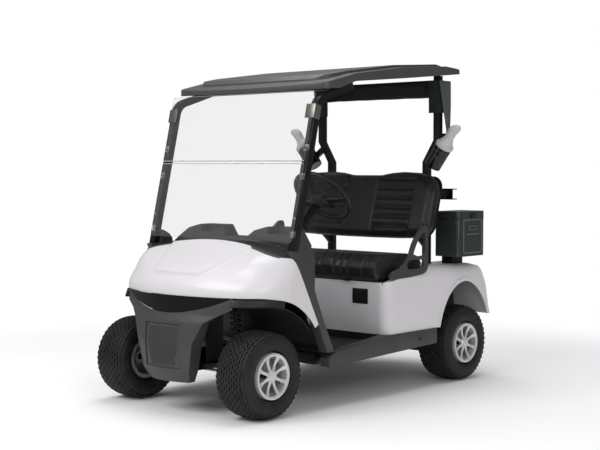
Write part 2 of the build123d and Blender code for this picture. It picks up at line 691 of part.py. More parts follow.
# ---- dash -----------------------------------------------------------------------------
DASH_Y = (-690, -540)
DASH_LOW_Z = 640
DASH_TOP_Z = 905
DASH_SIDE_Z = 846
HUMP_TOP_Z = 965
HUMP_FOOT_Z = 865
HUMP_SLOPE_Z = 942
# humps: foot x, slope x, top x, top x, foot x
HUMPS = ((-470, -345, -250, -80, -11), (46, 171, 266, 436, 505))
HUMP_Y = (-640, -550)
CUP_R = 38
CUP_FLOOR_Z = 858
COLUMN_R = 24
wheel_plane = Plane(WHEEL_CENTRE, x_dir=(1, 0, 0), z_dir=WHEEL_AXIS)

with BuildPart() as dash:
    with BuildSketch(Plane.XZ.offset(-DASH_Y[1])):
        with BuildLine():
            top = ThreePointArc((-515, DASH_SIDE_Z), (0, DASH_TOP_Z), (515, DASH_SIDE_Z))
            Polyline(top @ 1, (515, DASH_LOW_Z), (-515, DASH_LOW_Z), top @ 0)
        make_face()
    extrude(amount=DASH_Y[1] - DASH_Y[0])
    with Locations((0, DASH_Y[0] + 60, DASH_LOW_Z + 90)):
        Box(990, 160, 220, mode=Mode.SUBTRACT)
    for foot_a, slope_a, top_a, top_b, foot_b in HUMPS:
        with BuildSketch(Plane.XZ.offset(-HUMP_Y[1])):
            with BuildLine():
                Polyline(
                    (foot_a, HUMP_FOOT_Z), (slope_a, HUMP_SLOPE_Z), (top_a, HUMP_TOP_Z), (top_b, HUMP_TOP_Z),
                    (foot_b, HUMP_FOOT_Z), close=True,
                )
            make_face()
        extrude(amount=HUMP_Y[1] - HUMP_Y[0])
        with Locations(((top_a + top_b) / 2, HUMP_Y[0] + 35, HUMP_TOP_Z)):
            Box(top_b - top_a - 16, 90, 80, mode=Mode.SUBTRACT)
        with Locations(((top_a + top_b) / 2, HUMP_Y[0] + 38, CUP_FLOOR_Z + 100)):
            Cylinder(CUP_R, 200, mode=Mode.SUBTRACT)
    # clearance round the steering column
    with BuildSketch(wheel_plane.offset(-300)):
        Circle(COLUMN_R + 4)
    extrude(amount=-600, mode=Mode.SUBTRACT)
dash.part.label = "dash"
export_step(dash.part, "parts/dash.step")

# ---- rockers and front pillar trims ------------------------------------------------------
ROCKER_X = (FLOOR_HALF_W, 585)
PILLAR_X = (FLOOR_HALF_W, BODY_HALF_W)
PILLAR_GAP = 0.5
with BuildPart() as rockers:
    with BuildSketch(Plane.YZ.offset(ROCKER_X[0])):
        with BuildLine():
            Polyline(
                (-497, 222), (-505, 270), (-445, 300), (-380, 306), (SKIRT_Y, SKIRT_Z - RUN_GAP),
                (470, SKIRT_Z - RUN_GAP), (470, 253), close=True,
            )
        make_face()
    extrude(amount=ROCKER_X[1] - ROCKER_X[0])
    mirror(about=Plane.YZ)
rockers.part.label = "rockers"
export_step(rockers.part, "parts/rockers.step")

# rear face of the strut, at its foot and at the top of the fairing behind it
FAIRING_TOP_Z = 925
strut_back = STRUT / 2 / math.cos(STRUT_TILT) + PILLAR_GAP
fairing = (
    (strut_y(STRUT_FOOT[1]) + strut_back, STRUT_FOOT[1]), (strut_y(FAIRING_TOP_Z) + strut_back, FAIRING_TOP_Z),
    (-681, FAIRING_TOP_Z), (-658, 915), (-627, 898), (-611, 876), (-607, 787), (-607, 640),
)
with BuildPart() as pillar_trims:
    with BuildSketch(Plane.YZ.offset(PILLAR_X[0])):
        with BuildLine():
            trim_top_y = COWL_REAR_TOP[0] + PILLAR_GAP + slope * (STRUT_FOOT[1] - COWL_REAR_TOP[1])
            Polyline(
                (trim_top_y, STRUT_FOOT[1]), *fairing, (-530, 465), (-448, 301), (-505, 301),
                (COWL_REAR_LOW[0] + PILLAR_GAP, COWL_REAR_LOW[1]), close=True,
            )
        make_face()
    extrude(amount=PILLAR_X[1] - PILLAR_X[0])
    # the side draws in above the cowl's corner
    with BuildSketch(Plane.XZ.offset(400)):
        Polygon((PILLAR_X[1], 728), (WIDE / 2, 728), (WIDE / 2, 960), (539, 960), align=None)
    extrude(amount=500, mode=Mode.SUBTRACT)
    mirror(about=Plane.YZ)
pillar_trims.part.label = "pillar_trims"
export_step(pillar_trims.part, "parts/pillar_trims.step")

# ---- rear body ------------------------------------------------------------------------------
TAIL = ((930, 680), (990, 560), (1030, 381))     # rear edge of the fenders, (y, z)


def side_top(y):
    """Height of the body side's top edge at y."""
    for (y0, z0), (y1, z1) in zip(SIDE_TOP, SIDE_TOP[1:]):
        if y <= y1:
            return z0 + (z1 - z0) * (y - y0) / (y1 - y0)
    return SIDE_TOP[-1][1]


WELL_GAP = 7             # between the bag well and the fenders
HATCH_HALF_W = CUSHION_HALF_W + 8
HATCH_REAR_Y = CUSHION_Y[1] + 12


def rear_block(inset, skirt_z, tail_z):
    """Solid block of the rear body, drawn in by inset, down to skirt_z in front and tail_z behind."""
    with BuildPart() as block:
        with BuildSketch(Plane.YZ.offset(inset - BODY_HALF_W)):
            with BuildLine():
                front_y = SKIRT_Y + inset
                top = [(max(y, front_y), z - inset) for y, z in SIDE_TOP]
                tail = [(y - inset, z - inset) for y, z in TAIL[:2]] + [(TAIL[2][0] - inset, tail_z)]
                Polyline((front_y, skirt_z), *top, *tail, (540, tail_z), (540, skirt_z), close=True)
            make_face()
        extrude(amount=2 * (BODY_HALF_W - inset))
        fillet(block.edges().filter_by(Axis.Z).sort_by(Axis.Y)[:2], REAR_CORNER_R - inset)
        # rounded edges beside the deck
        with BuildSketch(Plane.XZ.offset(-REAR_BODY_END_Y - 100)):
            with BuildLine():
                w = BODY_HALF_W - inset
                top_z = DECK_EDGE_Z - inset
                r = DECK_EDGE_R - inset
                low_z = top_z - r
                near = r * (1 - math.sqrt(0.5))
                Polyline((-w, low_z), (-w, 0), (w, 0), (w, low_z))
                ThreePointArc((w, low_z), (w - near, top_z - near), (w - r, top_z))
                Line((w - r, top_z), (r - w, top_z))
                ThreePointArc((r - w, top_z), (near - w, top_z - near), (-w, low_z))
            make_face()
        extrude(amount=REAR_BODY_END_Y + 200, mode=Mode.INTERSECT)
    return block.part


arch_y = REAR_AXLE_Y + 10
with BuildPart() as arch_lips:
    with BuildSketch(Plane.YZ.offset(BODY_HALF_W - WALL)):
        with Locations((arch_y, AXLE_Z)):
            Ellipse(REAR_ARCH[0] + ARCH_LIP[0], REAR_ARCH[1] + ARCH_LIP[0])
            Ellipse(*REAR_ARCH, mode=Mode.SUBTRACT)
        with Locations((arch_y - 200, SKIRT_Z - 300)):
            Rectangle(400, 600, mode=Mode.SUBTRACT)
        with Locations((arch_y + 200, TAIL[2][1] - 300)):
            Rectangle(400, 600, mode=Mode.SUBTRACT)
    extrude(amount=WALL + ARCH_LIP[1])
    mirror(about=Plane.YZ)

rear_outer_block = rear_block(0, SKIRT_Z, TAIL[2][1])
rear_inner_block = rear_block(WALL, SKIRT_Z - 40, TAIL[2][1] - 40)
with BuildPart() as rear_body:
    add(rear_outer_block)
    add(rear_inner_block, mode=Mode.SUBTRACT)
    # rear wheel arches
    with BuildSketch(Plane.YZ.offset(-WIDE / 2)):
        with Locations((arch_y, AXLE_Z)):
            Ellipse(*REAR_ARCH)
    extrude(amount=WIDE, mode=Mode.SUBTRACT)
    add(arch_lips.part)
    # notch for the bag well and hatch under the cushion
    with Locations((0, WELL_FRONT_Y + 250 - WELL_GAP, 500)):
        Box(2 * (WELL_HALF_W + WELL_GAP), 500, 600, mode=Mode.SUBTRACT)
    with Locations((0, (SKIRT_Y + WALL + HATCH_REAR_Y) / 2, 700)):
        Box(2 * HATCH_HALF_W, HATCH_REAR_Y - SKIRT_Y - WALL, 160, mode=Mode.SUBTRACT)
rear_body.part.label = "rear_body"
export_step(rear_body.part, "parts/rear_body.step")

RECEPTACLE = (5, 110, 86)
with BuildPart() as receptacle:
    with Locations((382, SKIRT_Y - RECEPTACLE[0] / 2, 552)):
        Box(RECEPTACLE[1], RECEPTACLE[0], RECEPTACLE[2])
receptacle.part.label = "receptacle"
export_step(receptacle.part, "parts/receptacle.step")

WELL_TOP_Z = 700
with BuildPart() as bag_well:
    well_low = RAIL_REAR_Z + RAIL_H / 2
    with Locations((0, (WELL_FRONT_Y + WELL_REAR_Y) / 2, (well_low + WELL_TOP_Z) / 2)):
        Box(2 * WELL_HALF_W, WELL_REAR_Y - WELL_FRONT_Y, WELL_TOP_Z - well_low)
    with Locations((0, (WELL_FRONT_Y + WELL_REAR_Y) / 2, WELL_FLOOR_Z + 250)):
        Box(2 * (WELL_HALF_W - WELL_T), WELL_REAR_Y - WELL_FRONT_Y - 2 * WELL_T, 500, mode=Mode.SUBTRACT)
    # low sides behind the fenders and a low rear lip
    with BuildSketch(Plane.YZ.offset(-WELL_HALF_W)):
        with BuildLine():
            Polyline(
                (WELL_REAR_Y + 1, WELL_FLOOR_Z + 60), (TAIL[2][0], WELL_FLOOR_Z + 60), (TAIL[0][0], WELL_TOP_Z + 1),
                (WELL_REAR_Y + 1, WELL_TOP_Z + 1), close=True,
            )
        make_face()
    extrude(amount=2 * WELL_HALF_W, mode=Mode.SUBTRACT)
bag_well.part.label = "bag_well"
export_step(bag_well.part, "parts/bag_well.step")

# ---- seat -----------------------------------------------------------------------------------
SEAT_FLANGE_Z = 610
SEAT_HATCH = (760, 300)
HINGE_X = (-300, 300)
STRAP_W = 30
HINGE_PIN = (5, 58)      # radius, length
with BuildPart() as seat_base:
    base_y = (SKIRT_Y + WALL, HATCH_REAR_Y)
    mid_y = (base_y[0] + base_y[1]) / 2
    with BuildSketch(Plane.XY.offset(SEAT_FLANGE_Z)):
        with Locations((0, (base_y[0] + 70 + base_y[1]) / 2)):
            Rectangle(2 * (BODY_HALF_W - WALL), base_y[1] - base_y[0] - 70)
        with Locations((0, base_y[0] + 36)):
            Rectangle(2 * (BODY_HALF_W - REAR_CORNER_R), 72)
    extrude(amount=10)
    with BuildSketch(Plane.XY.offset(SEAT_FLANGE_Z + 10)):
        with Locations((0, mid_y)):
            Rectangle(2 * (BODY_HALF_W - REAR_CORNER_R), base_y[1] - base_y[0])
    extrude(amount=CUSHION_Z[0] - RUN_GAP - SEAT_FLANGE_Z - 10)
    with Locations((0, mid_y, SEAT_FLANGE_Z)):
        Box(SEAT_HATCH[0], SEAT_HATCH[1], 200, mode=Mode.SUBTRACT)
    # hinge straps over the skirt's edge, with the pins the cushion turns on
    strap_z = (side_top(SKIRT_Y + WALL) + RUN_GAP, CUSHION_Z[0] - RUN_GAP)
    for x in HINGE_X:
        with Locations((x, (CUSHION_AXIS[0] + base_y[0] + 20) / 2, (strap_z[0] + strap_z[1]) / 2)):
            Box(STRAP_W, base_y[0] + 20 - CUSHION_AXIS[0], strap_z[1] - strap_z[0])
        with Locations((x, *CUSHION_AXIS)):
            Cylinder(HINGE_PIN[0], HINGE_PIN[1], rotation=(0, 90, 0))
seat_base.part.label = "seat_base"
export_step(seat_base.part, "parts/seat_base.step")

with BuildPart() as seat_cushion:
    with BuildSketch(Plane.YZ.offset(-CUSHION_HALF_W)):
        with BuildLine():
            y0, y1 = CUSHION_Y
            z0, z1 = CUSHION_Z
            Polyline((y0 + 20, z0), (y0, z0 + 40), (y0 + 20, z1 - 20), (y0 + 90, z1), (y1, z1), (y1, z0), close=True)
        make_face()
    extrude(amount=2 * CUSHION_HALF_W)
    for x in HINGE_X:
        with Locations((x, *CUSHION_AXIS)):
            Cylinder(HINGE_PIN[0] + RUN_GAP, HINGE_PIN[1] + 2, rotation=(0, 90, 0), mode=Mode.SUBTRACT)
            Cylinder(HINGE_PIN[0] + 7, STRAP_W + 4, rotation=(0, 90, 0), mode=Mode.SUBTRACT)
seat_cushion.part.label = "seat_cushion"
export_step(seat_cushion.part, "parts/seat_cushion.step")

lean = math.atan2(BACK_HIGH[0] - BACK_LOW[0], BACK_HIGH[1] - BACK_LOW[1])
back_h = math.hypot(BACK_HIGH[0] - BACK_LOW[0], BACK_HIGH[1] - BACK_LOW[1])
back_plane = Plane(
    ((0, (BACK_LOW[0] + BACK_HIGH[0]) / 2, (BACK_LOW[1] + BACK_HIGH[1]) / 2)),
    x_dir=(1, 0, 0), z_dir=(0, -math.cos(lean), math.sin(lean)),
)
with BuildPart() as backrest:
    with BuildSketch(back_plane):
        RectangleRounded(2 * BACK_HALF_W, back_h, BACK_CORNER_R)
    extrude(amount=BACK_T / 2, both=True)
backrest.part.label = "backrest"
export_step(backrest.part, "parts/backrest.step")

with BuildPart() as backrest_shell:
    with BuildSketch(back_plane.offset(-BACK_T / 2)):
        RectangleRounded(2 * BACK_HALF_W - 44, back_h - 44, BACK_CORNER_R - 22)
    extrude(amount=-SHELL_T)
backrest_shell.part.label = "backrest_shell"
export_step(backrest_shell.part, "parts/backrest_shell.step")

RESTRAINT_X = (554, 574)
with BuildPart() as hip_restraints:
    with BuildSketch(Plane.YZ.offset(RESTRAINT_X[0])):
        with BuildLine():
            ThreePointArc((62, 690), (282, 762), (402, 952))
            ThreePointArc((402, 952), (420, 964), (432, 946))
            Polyline((432, 946), (422, 760), (416, 600), (62, 600), (62, 690))
        make_face()
        with BuildLine():
            ThreePointArc((222, 740), (318, 794), (398, 902))
            Polyline((398, 902), (413, 898), (405, 752), (392, 740), (222, 740))
        make_face(mode=Mode.SUBTRACT)
    extrude(amount=RESTRAINT_X[1] - RESTRAINT_X[0])
    # foot shaped to the body's rounded edge
    add(rear_block(-RUN_GAP, SKIRT_Z, TAIL[2][1]), mode=Mode.SUBTRACT)
    mirror(about=Plane.YZ)
hip_restraints.part.label = "hip_restraints"
export_step(hip_restraints.part, "parts/hip_restraints.step")

# ---- steering -----------------------------------------------------------------------------------
HUB_LOW = -60
with BuildPart() as steering_wheel:
    with BuildSketch(Plane(WHEEL_CENTRE, x_dir=(1, 0, 0), z_dir=wheel_plane.y_dir)):
        with Locations((WHEEL_RING_R, 0)):
            Circle(WHEEL_GRIP_R)
    revolve(axis=Axis(WHEEL_CENTRE, WHEEL_AXIS))
    with BuildSketch(wheel_plane.offset(HUB_LOW)):
        Circle(42)
    extrude(amount=50)
    with BuildSketch(wheel_plane.offset(-22)):
        for angle in (0, 180, 270):
            with Locations(Rotation(0, 0, angle)):
                with Locations((WHEEL_RING_R / 2, 0)):
                    Rectangle(WHEEL_RING_R, 34)
    extrude(amount=14)
steering_wheel.part.label = "steering_wheel"
export_step(steering_wheel.part, "parts/steering_wheel.step")

with BuildPart() as steering_column:
    with BuildSketch(wheel_plane.offset(HUB_LOW - RUN_GAP)):
        Circle(COLUMN_R)
    extrude(amount=-900)
    # the foot stands on the bracket over the toe board
    with Locations((WHEEL_CENTRE[0], TOE[2][0] - 300, TOE[2][1])):
        Box(200, 600, 1000, mode=Mode.SUBTRACT)
steering_column.part.label = "steering_column"
export_step(steering_column.part, "parts/steering_column.step")

# pedals stand off the lower toe board: centre x, width, height along the board, standing height
PEDALS = ((190, 84, 60, 46), (330, 64, 100, 40))
toe_run = TOE[1][0] - TOE[0][0]
toe_rise = TOE[1][1] - TOE[0][1]
toe_len = math.hypot(toe_run, toe_rise)
with BuildPart() as pedals:
    for x, pad_w, pad_h, stand in PEDALS:
        mid = Vector(x, TOE[0][0] + 0.55 * toe_run, TOE[0][1] + 0.55 * toe_rise)
        board = Plane(mid, x_dir=(1, 0, 0), z_dir=(0, toe_rise / toe_len, -toe_run / toe_len))
        with BuildSketch(board):
            Rectangle(18, 30)
        extrude(amount=stand)
        with BuildSketch(board.offset(stand)):
            RectangleRounded(pad_w, pad_h, 8)
        extrude(amount=10)
pedals.part.label = "pedals"
export_step(pedals.part, "parts/pedals.step")

# ---- canopy ----------------------------------------------------------------------------------------
(flat_y, flat_z), (rise_y, rise_z) = ROOF_UNDER[1], ROOF_UNDER[2]
rise = (rise_z - flat_z) / (rise_y - flat_y)
drop = STRUT / 2 * math.hypot(1, rise)
bend_z = (flat_z - drop + rise * (STRUT_FOOT[0] - STRUT_LEAN * STRUT_FOOT[1] - flat_y)) / (1 - rise * STRUT_LEAN)
with BuildPart() as front_struts:
    for x in (-STRUT_X, STRUT_X):
        with BuildLine(Plane.YZ.offset(x)) as strut_line:
            FilletPolyline(
                (strut_y(STRUT_FOOT[1] - 20), STRUT_FOOT[1] - 20), (strut_y(bend_z), bend_z),
                (rise_y - 8, rise_z - drop - 8 * rise), radius=STRUT_BEND_R,
            )
        with BuildSketch(Plane(strut_line.line @ 0, x_dir=(1, 0, 0), z_dir=strut_line.line % 0)):
            Rectangle(STRUT, STRUT)
        sweep(path=strut_line.line)
    with Locations((0, 0, STRUT_FOOT[1] - 50)):
        Box(WIDE, 3000, 100, mode=Mode.SUBTRACT)
    with Locations((0, rise_y - 30, rise_z - drop - 30 * rise)):
        Box(2 * STRUT_X - STRUT, 30, 30)
front_struts.part.label = "front_struts"
export_step(front_struts.part, "parts/front_struts.step")

# bottle holders and bag cover hang on the rear struts
HOLDER_R = 50
HOLDER_BOTTOM = (465, 578, 1289.5)
HOLDER_LEN = 116
HOLDER_TILT = math.radians(36)
BOTTLE_R = 46
holder_plane = Plane(
    HOLDER_BOTTOM, x_dir=(0, 1, 0), z_dir=(math.sin(HOLDER_TILT), 0, math.cos(HOLDER_TILT))
)
COVER_PIVOT = (690, 1465)
COVER_BAND_Z = (1706, 1800)
COVER_BAND_Y = (674, 716)
COVER_HALF_W = 500
ARM_T = 16
PIVOT_R = 6
PIVOT_PLATE_T = 6
with BuildPart() as strut_bars:
    top_z = under_roof(REAR_STRUT_Y - STRUT / 2)
    foot_z = side_top(REAR_STRUT_Y + STRUT / 2)
    for side in (-1, 1):
        with BuildSketch(Plane.XZ.offset(-(REAR_STRUT_Y + STRUT / 2))):
            with BuildLine():
                half = STRUT / 2
                low_x, up_x = REAR_STRUT_X, REAR_STRUT_UP_X
                za, zb = REAR_STRUT_JOG_Z
                Polyline(
                    (side * (low_x - half), foot_z), (side * (low_x - half), za), (side * (up_x - half), zb),
                    (side * (up_x - half), top_z), (side * (up_x + half), top_z), (side * (up_x + half), zb),
                    (side * (low_x + half), za), (side * (low_x + half), foot_z), close=True,
                )
            make_face()
        extrude(amount=STRUT)
    with Locations((0, REAR_STRUT_Y, top_z - 40)):
        Box(2 * REAR_STRUT_UP_X - STRUT, 30, 30)
    # plates that carry the backrest
    plate_face = (BACK_T / 2 + SHELL_T) / math.cos(lean)
    plate_y0 = BACK_LOW[0] + plate_face
    plate_slope = math.tan(lean)
    front_y = REAR_STRUT_Y - STRUT / 2
    for x in (-REAR_STRUT_X, REAR_STRUT_X):
        with BuildSketch(Plane.YZ.offset(x - 12)):
            with BuildLine():
                Polyline(
                    (plate_y0 + plate_slope * 30, BACK_LOW[1] + 30), (plate_y0 + plate_slope * 330, BACK_LOW[1] + 330),
                    (front_y, BACK_LOW[1] + 340), (front_y, BACK_LOW[1] - 60), close=True,
                )
            make_face()
        extrude(amount=24)
rear_outer = REAR_STRUT_UP_X + STRUT / 2
with BuildPart() as strut_fittings:
    # saddle behind the bottle holder
    with BuildSketch(holder_plane.offset(45)):
        with Locations(((front_y - HOLDER_BOTTOM[1] + 25) / 2, 40)):
            Rectangle(front_y - HOLDER_BOTTOM[1] - 25, 110)
        Circle(HOLDER_R, mode=Mode.SUBTRACT)
    extrude(amount=36)
    # plate and pin of the bag cover
    with Locations((rear_outer + PIVOT_PLATE_T / 2, 672, COVER_PIVOT[1])):
        Box(PIVOT_PLATE_T, 64, 40)
    with BuildSketch(Plane.YZ.offset(rear_outer)):
        with Locations(COVER_PIVOT):
            Circle(PIVOT_R)
    extrude(amount=COVER_HALF_W - rear_outer)
    mirror(about=Plane.YZ)
with BuildPart() as rear_struts:
    add(strut_bars.part)
    add(strut_fittings.part)
rear_struts.part.label = "rear_struts"
export_step(rear_struts.part, "parts/rear_struts.step")

with BuildPart() as roof:
    with BuildSketch(Plane.YZ.offset(-ROOF_HALF_W)):
        with BuildLine():
            Polyline(*ROOF_UNDER, *ROOF_OVER, close=True)
        make_face()
    extrude(amount=2 * ROOF_HALF_W)
    with BuildSketch(Plane.XY.offset(1600)) as roof_plan:
        with BuildLine():
            ThreePointArc((-ROOF_HALF_W, ROOF_BOW_Y), (0, ROOF_UNDER[0][0]), (ROOF_HALF_W, ROOF_BOW_Y))
            Polyline(
                (ROOF_HALF_W, ROOF_BOW_Y), (ROOF_HALF_W, ROOF_UNDER[-1][0]), (-ROOF_HALF_W, ROOF_UNDER[-1][0]),
                (-ROOF_HALF_W, ROOF_BOW_Y),
            )
        make_face()
        fillet(roof_plan.vertices().sort_by(Axis.Y)[:2], ROOF_FRONT_R)
        fillet(roof_plan.vertices().sort_by(Axis.Y)[-2:], ROOF_CORNER_R)
    extrude(amount=400, mode=Mode.INTERSECT)
    panel_y = (PANEL_OVER[-1][0], PANEL_OVER[0][0])
    with BuildPart(mode=Mode.PRIVATE) as roof_panel:
        with BuildSketch(Plane.YZ.offset(-PANEL_W / 2)):
            with BuildLine():
                Polyline(*PANEL_OVER, (panel_y[0], 1735), (0, 1780), (panel_y[1], 1845), close=True)
            make_face()
        extrude(amount=PANEL_W)
        with BuildSketch(Plane.XY.offset(1600)):
            with Locations((0, (panel_y[0] + panel_y[1]) / 2)):
                RectangleRounded(PANEL_W, panel_y[1] - panel_y[0], PANEL_CORNER_R)
        extrude(amount=400, mode=Mode.INTERSECT)
    add(roof_panel.part)
roof.part.label = "roof"
export_step(roof.part, "parts/roof.step")

pane_face = STRUT / 2 + PANE_GAP


def pane_plane(z):
    """Plane on the back of the windscreen at height z, facing forward."""
    up = Vector(0, math.sin(STRUT_TILT), math.cos(STRUT_TILT))
    out = Vector(0, -math.cos(STRUT_TILT), math.sin(STRUT_TILT))
    return Plane(Vector(0, strut_y(z), z) + out * pane_face, x_dir=(1, 0, 0), z_dir=out)


with BuildPart() as windscreen:
    for z_low, z_high in ((PANE_LOW_Z, PANE_FOLD_Z - 3), (PANE_FOLD_Z + 3, PANE_TOP_Z)):
        with BuildSketch(pane_plane((z_low + z_high) / 2)):
            RectangleRounded(2 * PANE_HALF_W, (z_high - z_low) / math.cos(STRUT_TILT), 18)
        extrude(amount=PANE_T)
windscreen.part.label = "windscreen"
export_step(windscreen.part, "parts/windscreen.step")

# bent clips that hold the panes to the struts
CLIP_Z = (930, 1230, 1380, 1571)
BRACKET_H = 76
BRACKET_W = 62
BRACKET_T = 3
BRACKET_DEPTH = 48
BRACKET_X = STRUT_X + STRUT / 2 + BRACKET_T - BRACKET_W / 2
with BuildPart() as windscreen_clips:
    for z in CLIP_Z:
        with BuildSketch(pane_plane(z)):
            with Locations((-STRUT_X, 0), (STRUT_X, 0)):
                Rectangle(30, 34)
        extrude(amount=-PANE_GAP)
    # angle brackets round the pane's edge at the top
    with BuildSketch(pane_plane(CLIP_Z[-1]).offset(PANE_T)):
        with Locations((-BRACKET_X, 0), (BRACKET_X, 0)):
            Rectangle(BRACKET_W, BRACKET_H)
    extrude(amount=BRACKET_T)
    with BuildSketch(pane_plane(CLIP_Z[-1]).offset(PANE_T + BRACKET_T)):
        for side in (-1, 1):
            with Locations((side * (STRUT_X + STRUT / 2 + BRACKET_T / 2), 0)):
                Rectangle(BRACKET_T, BRACKET_H)
    extrude(amount=-BRACKET_DEPTH)
windscreen_clips.part.label = "windscreen_clips"
export_step(windscreen_clips.part, "parts/windscreen_clips.step")

# ---- golf gear ----------------------------------------------------------------------------------------
with BuildPart() as bottle_holders:
    with BuildSketch(holder_plane):
        Circle(HOLDER_R)
    extrude(amount=HOLDER_LEN)
    with BuildSketch(holder_plane.offset(4)):
        Circle(HOLDER_R - 3)
    extrude(amount=HOLDER_LEN, mode=Mode.SUBTRACT)
    mirror(about=Plane.YZ)
bottle_holders.part.label = "bottle_holders"
export_step(bottle_holders.part, "parts/bottle_holders.step")

CAP_T = 22
# bottle above its cap: (x, z) of the neck's foot, the bend and the spout's tip
BOTTLE_BEND = ((543, 1397), (571, 1462), (650, 1517))


def along_bottle(start, end):
    """Plane on the bottle's line at start, facing end."""
    return Plane(
        (start[0], HOLDER_BOTTOM[1], start[1]), x_dir=(0, 1, 0), z_dir=(end[0] - start[0], 0, end[1] - start[1])
    )


neck_len = math.dist(BOTTLE_BEND[0], BOTTLE_BEND[1])
spout_len = math.dist(BOTTLE_BEND[1], BOTTLE_BEND[2])
with BuildPart() as bottles:
    with BuildSketch(holder_plane.offset(4.3)):
        Circle(BOTTLE_R)
    extrude(amount=HOLDER_LEN)
    with BuildSketch(holder_plane.offset(4.3 + HOLDER_LEN)):
        Circle(HOLDER_R + 4)
    extrude(amount=CAP_T)
    with BuildSketch(along_bottle(BOTTLE_BEND[0], BOTTLE_BEND[1])):
        Circle(37)
    with BuildSketch(along_bottle(BOTTLE_BEND[0], BOTTLE_BEND[1]).offset(neck_len)):
        Circle(25)
    loft()
    with Locations((BOTTLE_BEND[1][0], HOLDER_BOTTOM[1], BOTTLE_BEND[1][1])):
        Sphere(26)
    with BuildSketch(along_bottle(BOTTLE_BEND[1], BOTTLE_BEND[2])):
        Circle(22)
    with BuildSketch(along_bottle(BOTTLE_BEND[1], BOTTLE_BEND[2]).offset(spout_len)):
        Circle(17)
    loft()
    mirror(about=Plane.YZ)
bottles.part.label = "bottles"
export_step(bottles.part, "parts/bottles.step")

COOLER_X = (421, 610)
COOLER_Y = (653, 930)
COOLER_Z = (748, 1018)
COOLER_LID_Z = 968
LID_AXIS_IN = 9          # hinge line inside the lid's lower front edge
LID_PIN = (4, 26)        # radius, length
LID_EAR = (10, 6)        # width, half depth
COOLER_WALL = 8
LID_GAP = 0.5
cooler_x = (COOLER_X[0] + COOLER_X[1]) / 2
cooler_y = (COOLER_Y[0] + COOLER_Y[1]) / 2
lid_axis = (COOLER_Y[0] + LID_AXIS_IN, COOLER_LID_Z + LID_AXIS_IN)
LID_EAR_X = (cooler_x - 55, cooler_x + 55)
with BuildPart() as cooler_box:
    with BuildSketch(Plane.XY.offset(COOLER_Z[0])):
        with Locations((cooler_x, cooler_y)):
            RectangleRounded(COOLER_X[1] - COOLER_X[0] - 2, COOLER_Y[1] - COOLER_Y[0] - 2, 29)
    extrude(amount=COOLER_LID_Z - LID_GAP - COOLER_Z[0])
    with BuildSketch(Plane.XY.offset(COOLER_Z[0] + COOLER_WALL)):
        with Locations((cooler_x, cooler_y)):
            RectangleRounded(
                COOLER_X[1] - COOLER_X[0] - 2 - 2 * COOLER_WALL, COOLER_Y[1] - COOLER_Y[0] - 2 - 2 * COOLER_WALL, 21
            )
    extrude(amount=400, mode=Mode.SUBTRACT)
    # ears and pins of the lid's hinge
    for x in LID_EAR_X:
        with Locations((x, lid_axis[0], lid_axis[1] - 15)):
            Box(LID_EAR[0], 2 * LID_EAR[1], 30)
        with Locations((x, *lid_axis)):
            Cylinder(LID_EAR[1], LID_EAR[0], rotation=(0, 90, 0))
            Cylinder(LID_PIN[0], LID_PIN[1], rotation=(0, 90, 0))
cooler_box.part.label = "cooler_box"
export_step(cooler_box.part, "parts/cooler_box.step")

with BuildPart() as cooler_lid:
    with BuildSketch(Plane.XY.offset(COOLER_LID_Z)):
        with Locations((cooler_x, cooler_y)):
            RectangleRounded(COOLER_X[1] - COOLER_X[0], COOLER_Y[1] - COOLER_Y[0], 30)
    extrude(amount=COOLER_Z[1] - COOLER_LID_Z)
    # front lower edge rounded about the hinge line
    with BuildSketch(Plane.YZ.offset(COOLER_X[0] - 1)):
        with Locations((lid_axis[0] - LID_AXIS_IN, lid_axis[1] - LID_AXIS_IN)):
            Rectangle(2 * LID_AXIS_IN, 2 * LID_AXIS_IN)
        with Locations(lid_axis):
            Circle(LID_AXIS_IN, mode=Mode.SUBTRACT)
    extrude(amount=COOLER_X[1] - COOLER_X[0] + 2, mode=Mode.SUBTRACT)
    notch = LID_EAR[1] + 1.5
    for x in LID_EAR_X:
        with Locations((x, lid_axis[0] + notch - 20, lid_axis[1] + notch - 20)):
            Box(LID_EAR[0] + 2, 40, 40, mode=Mode.SUBTRACT)
        with Locations((x, *lid_axis)):
            Cylinder(LID_PIN[0] + RUN_GAP, LID_PIN[1] + 2, rotation=(0, 90, 0), mode=Mode.SUBTRACT)
cooler_lid.part.label = "cooler_lid"
export_step(cooler_lid.part, "parts/cooler_lid.step")

RACK_Z = (1083, 1150)
RACK_Y = (850, 900)
RACK_HALF_W = 420
SHELF = (76, 110)        # post under the cooler, width and depth
with BuildPart() as bag_rack:
    with Locations((0, (RACK_Y[0] + RACK_Y[1]) / 2, (RACK_Z[0] + RACK_Z[1]) / 2)):
        Box(2 * RACK_HALF_W, RACK_Y[1] - RACK_Y[0], RACK_Z[1] - RACK_Z[0])
    with Locations((0, RACK_Y[1], (RACK_Z[0] + RACK_Z[1]) / 2)):
        Box(2 * RACK_HALF_W + 20, 2 * (RACK_Y[1] - RACK_Y[0] - 6), RACK_Z[1] - RACK_Z[0] - 12, mode=Mode.SUBTRACT)
    for x in (-REAR_STRUT_X, REAR_STRUT_X):
        y_a = REAR_STRUT_Y + STRUT / 2
        with Locations((x, (y_a + RACK_Y[0]) / 2, (RACK_Z[0] + RACK_Z[1]) / 2)):
            Box(30, RACK_Y[0] - y_a, 40)
    # shelf under the cooler, on the left fender
    shelf_z = SIDE_TOP[2][1]
    with Locations((COOLER_X[0] + SHELF[0] / 2 + 3, cooler_y, (shelf_z + COOLER_Z[0]) / 2)):
        Box(SHELF[0], SHELF[1], COOLER_Z[0] - shelf_z)
bag_rack.part.label = "bag_rack"
export_step(bag_rack.part, "parts/bag_rack.step")

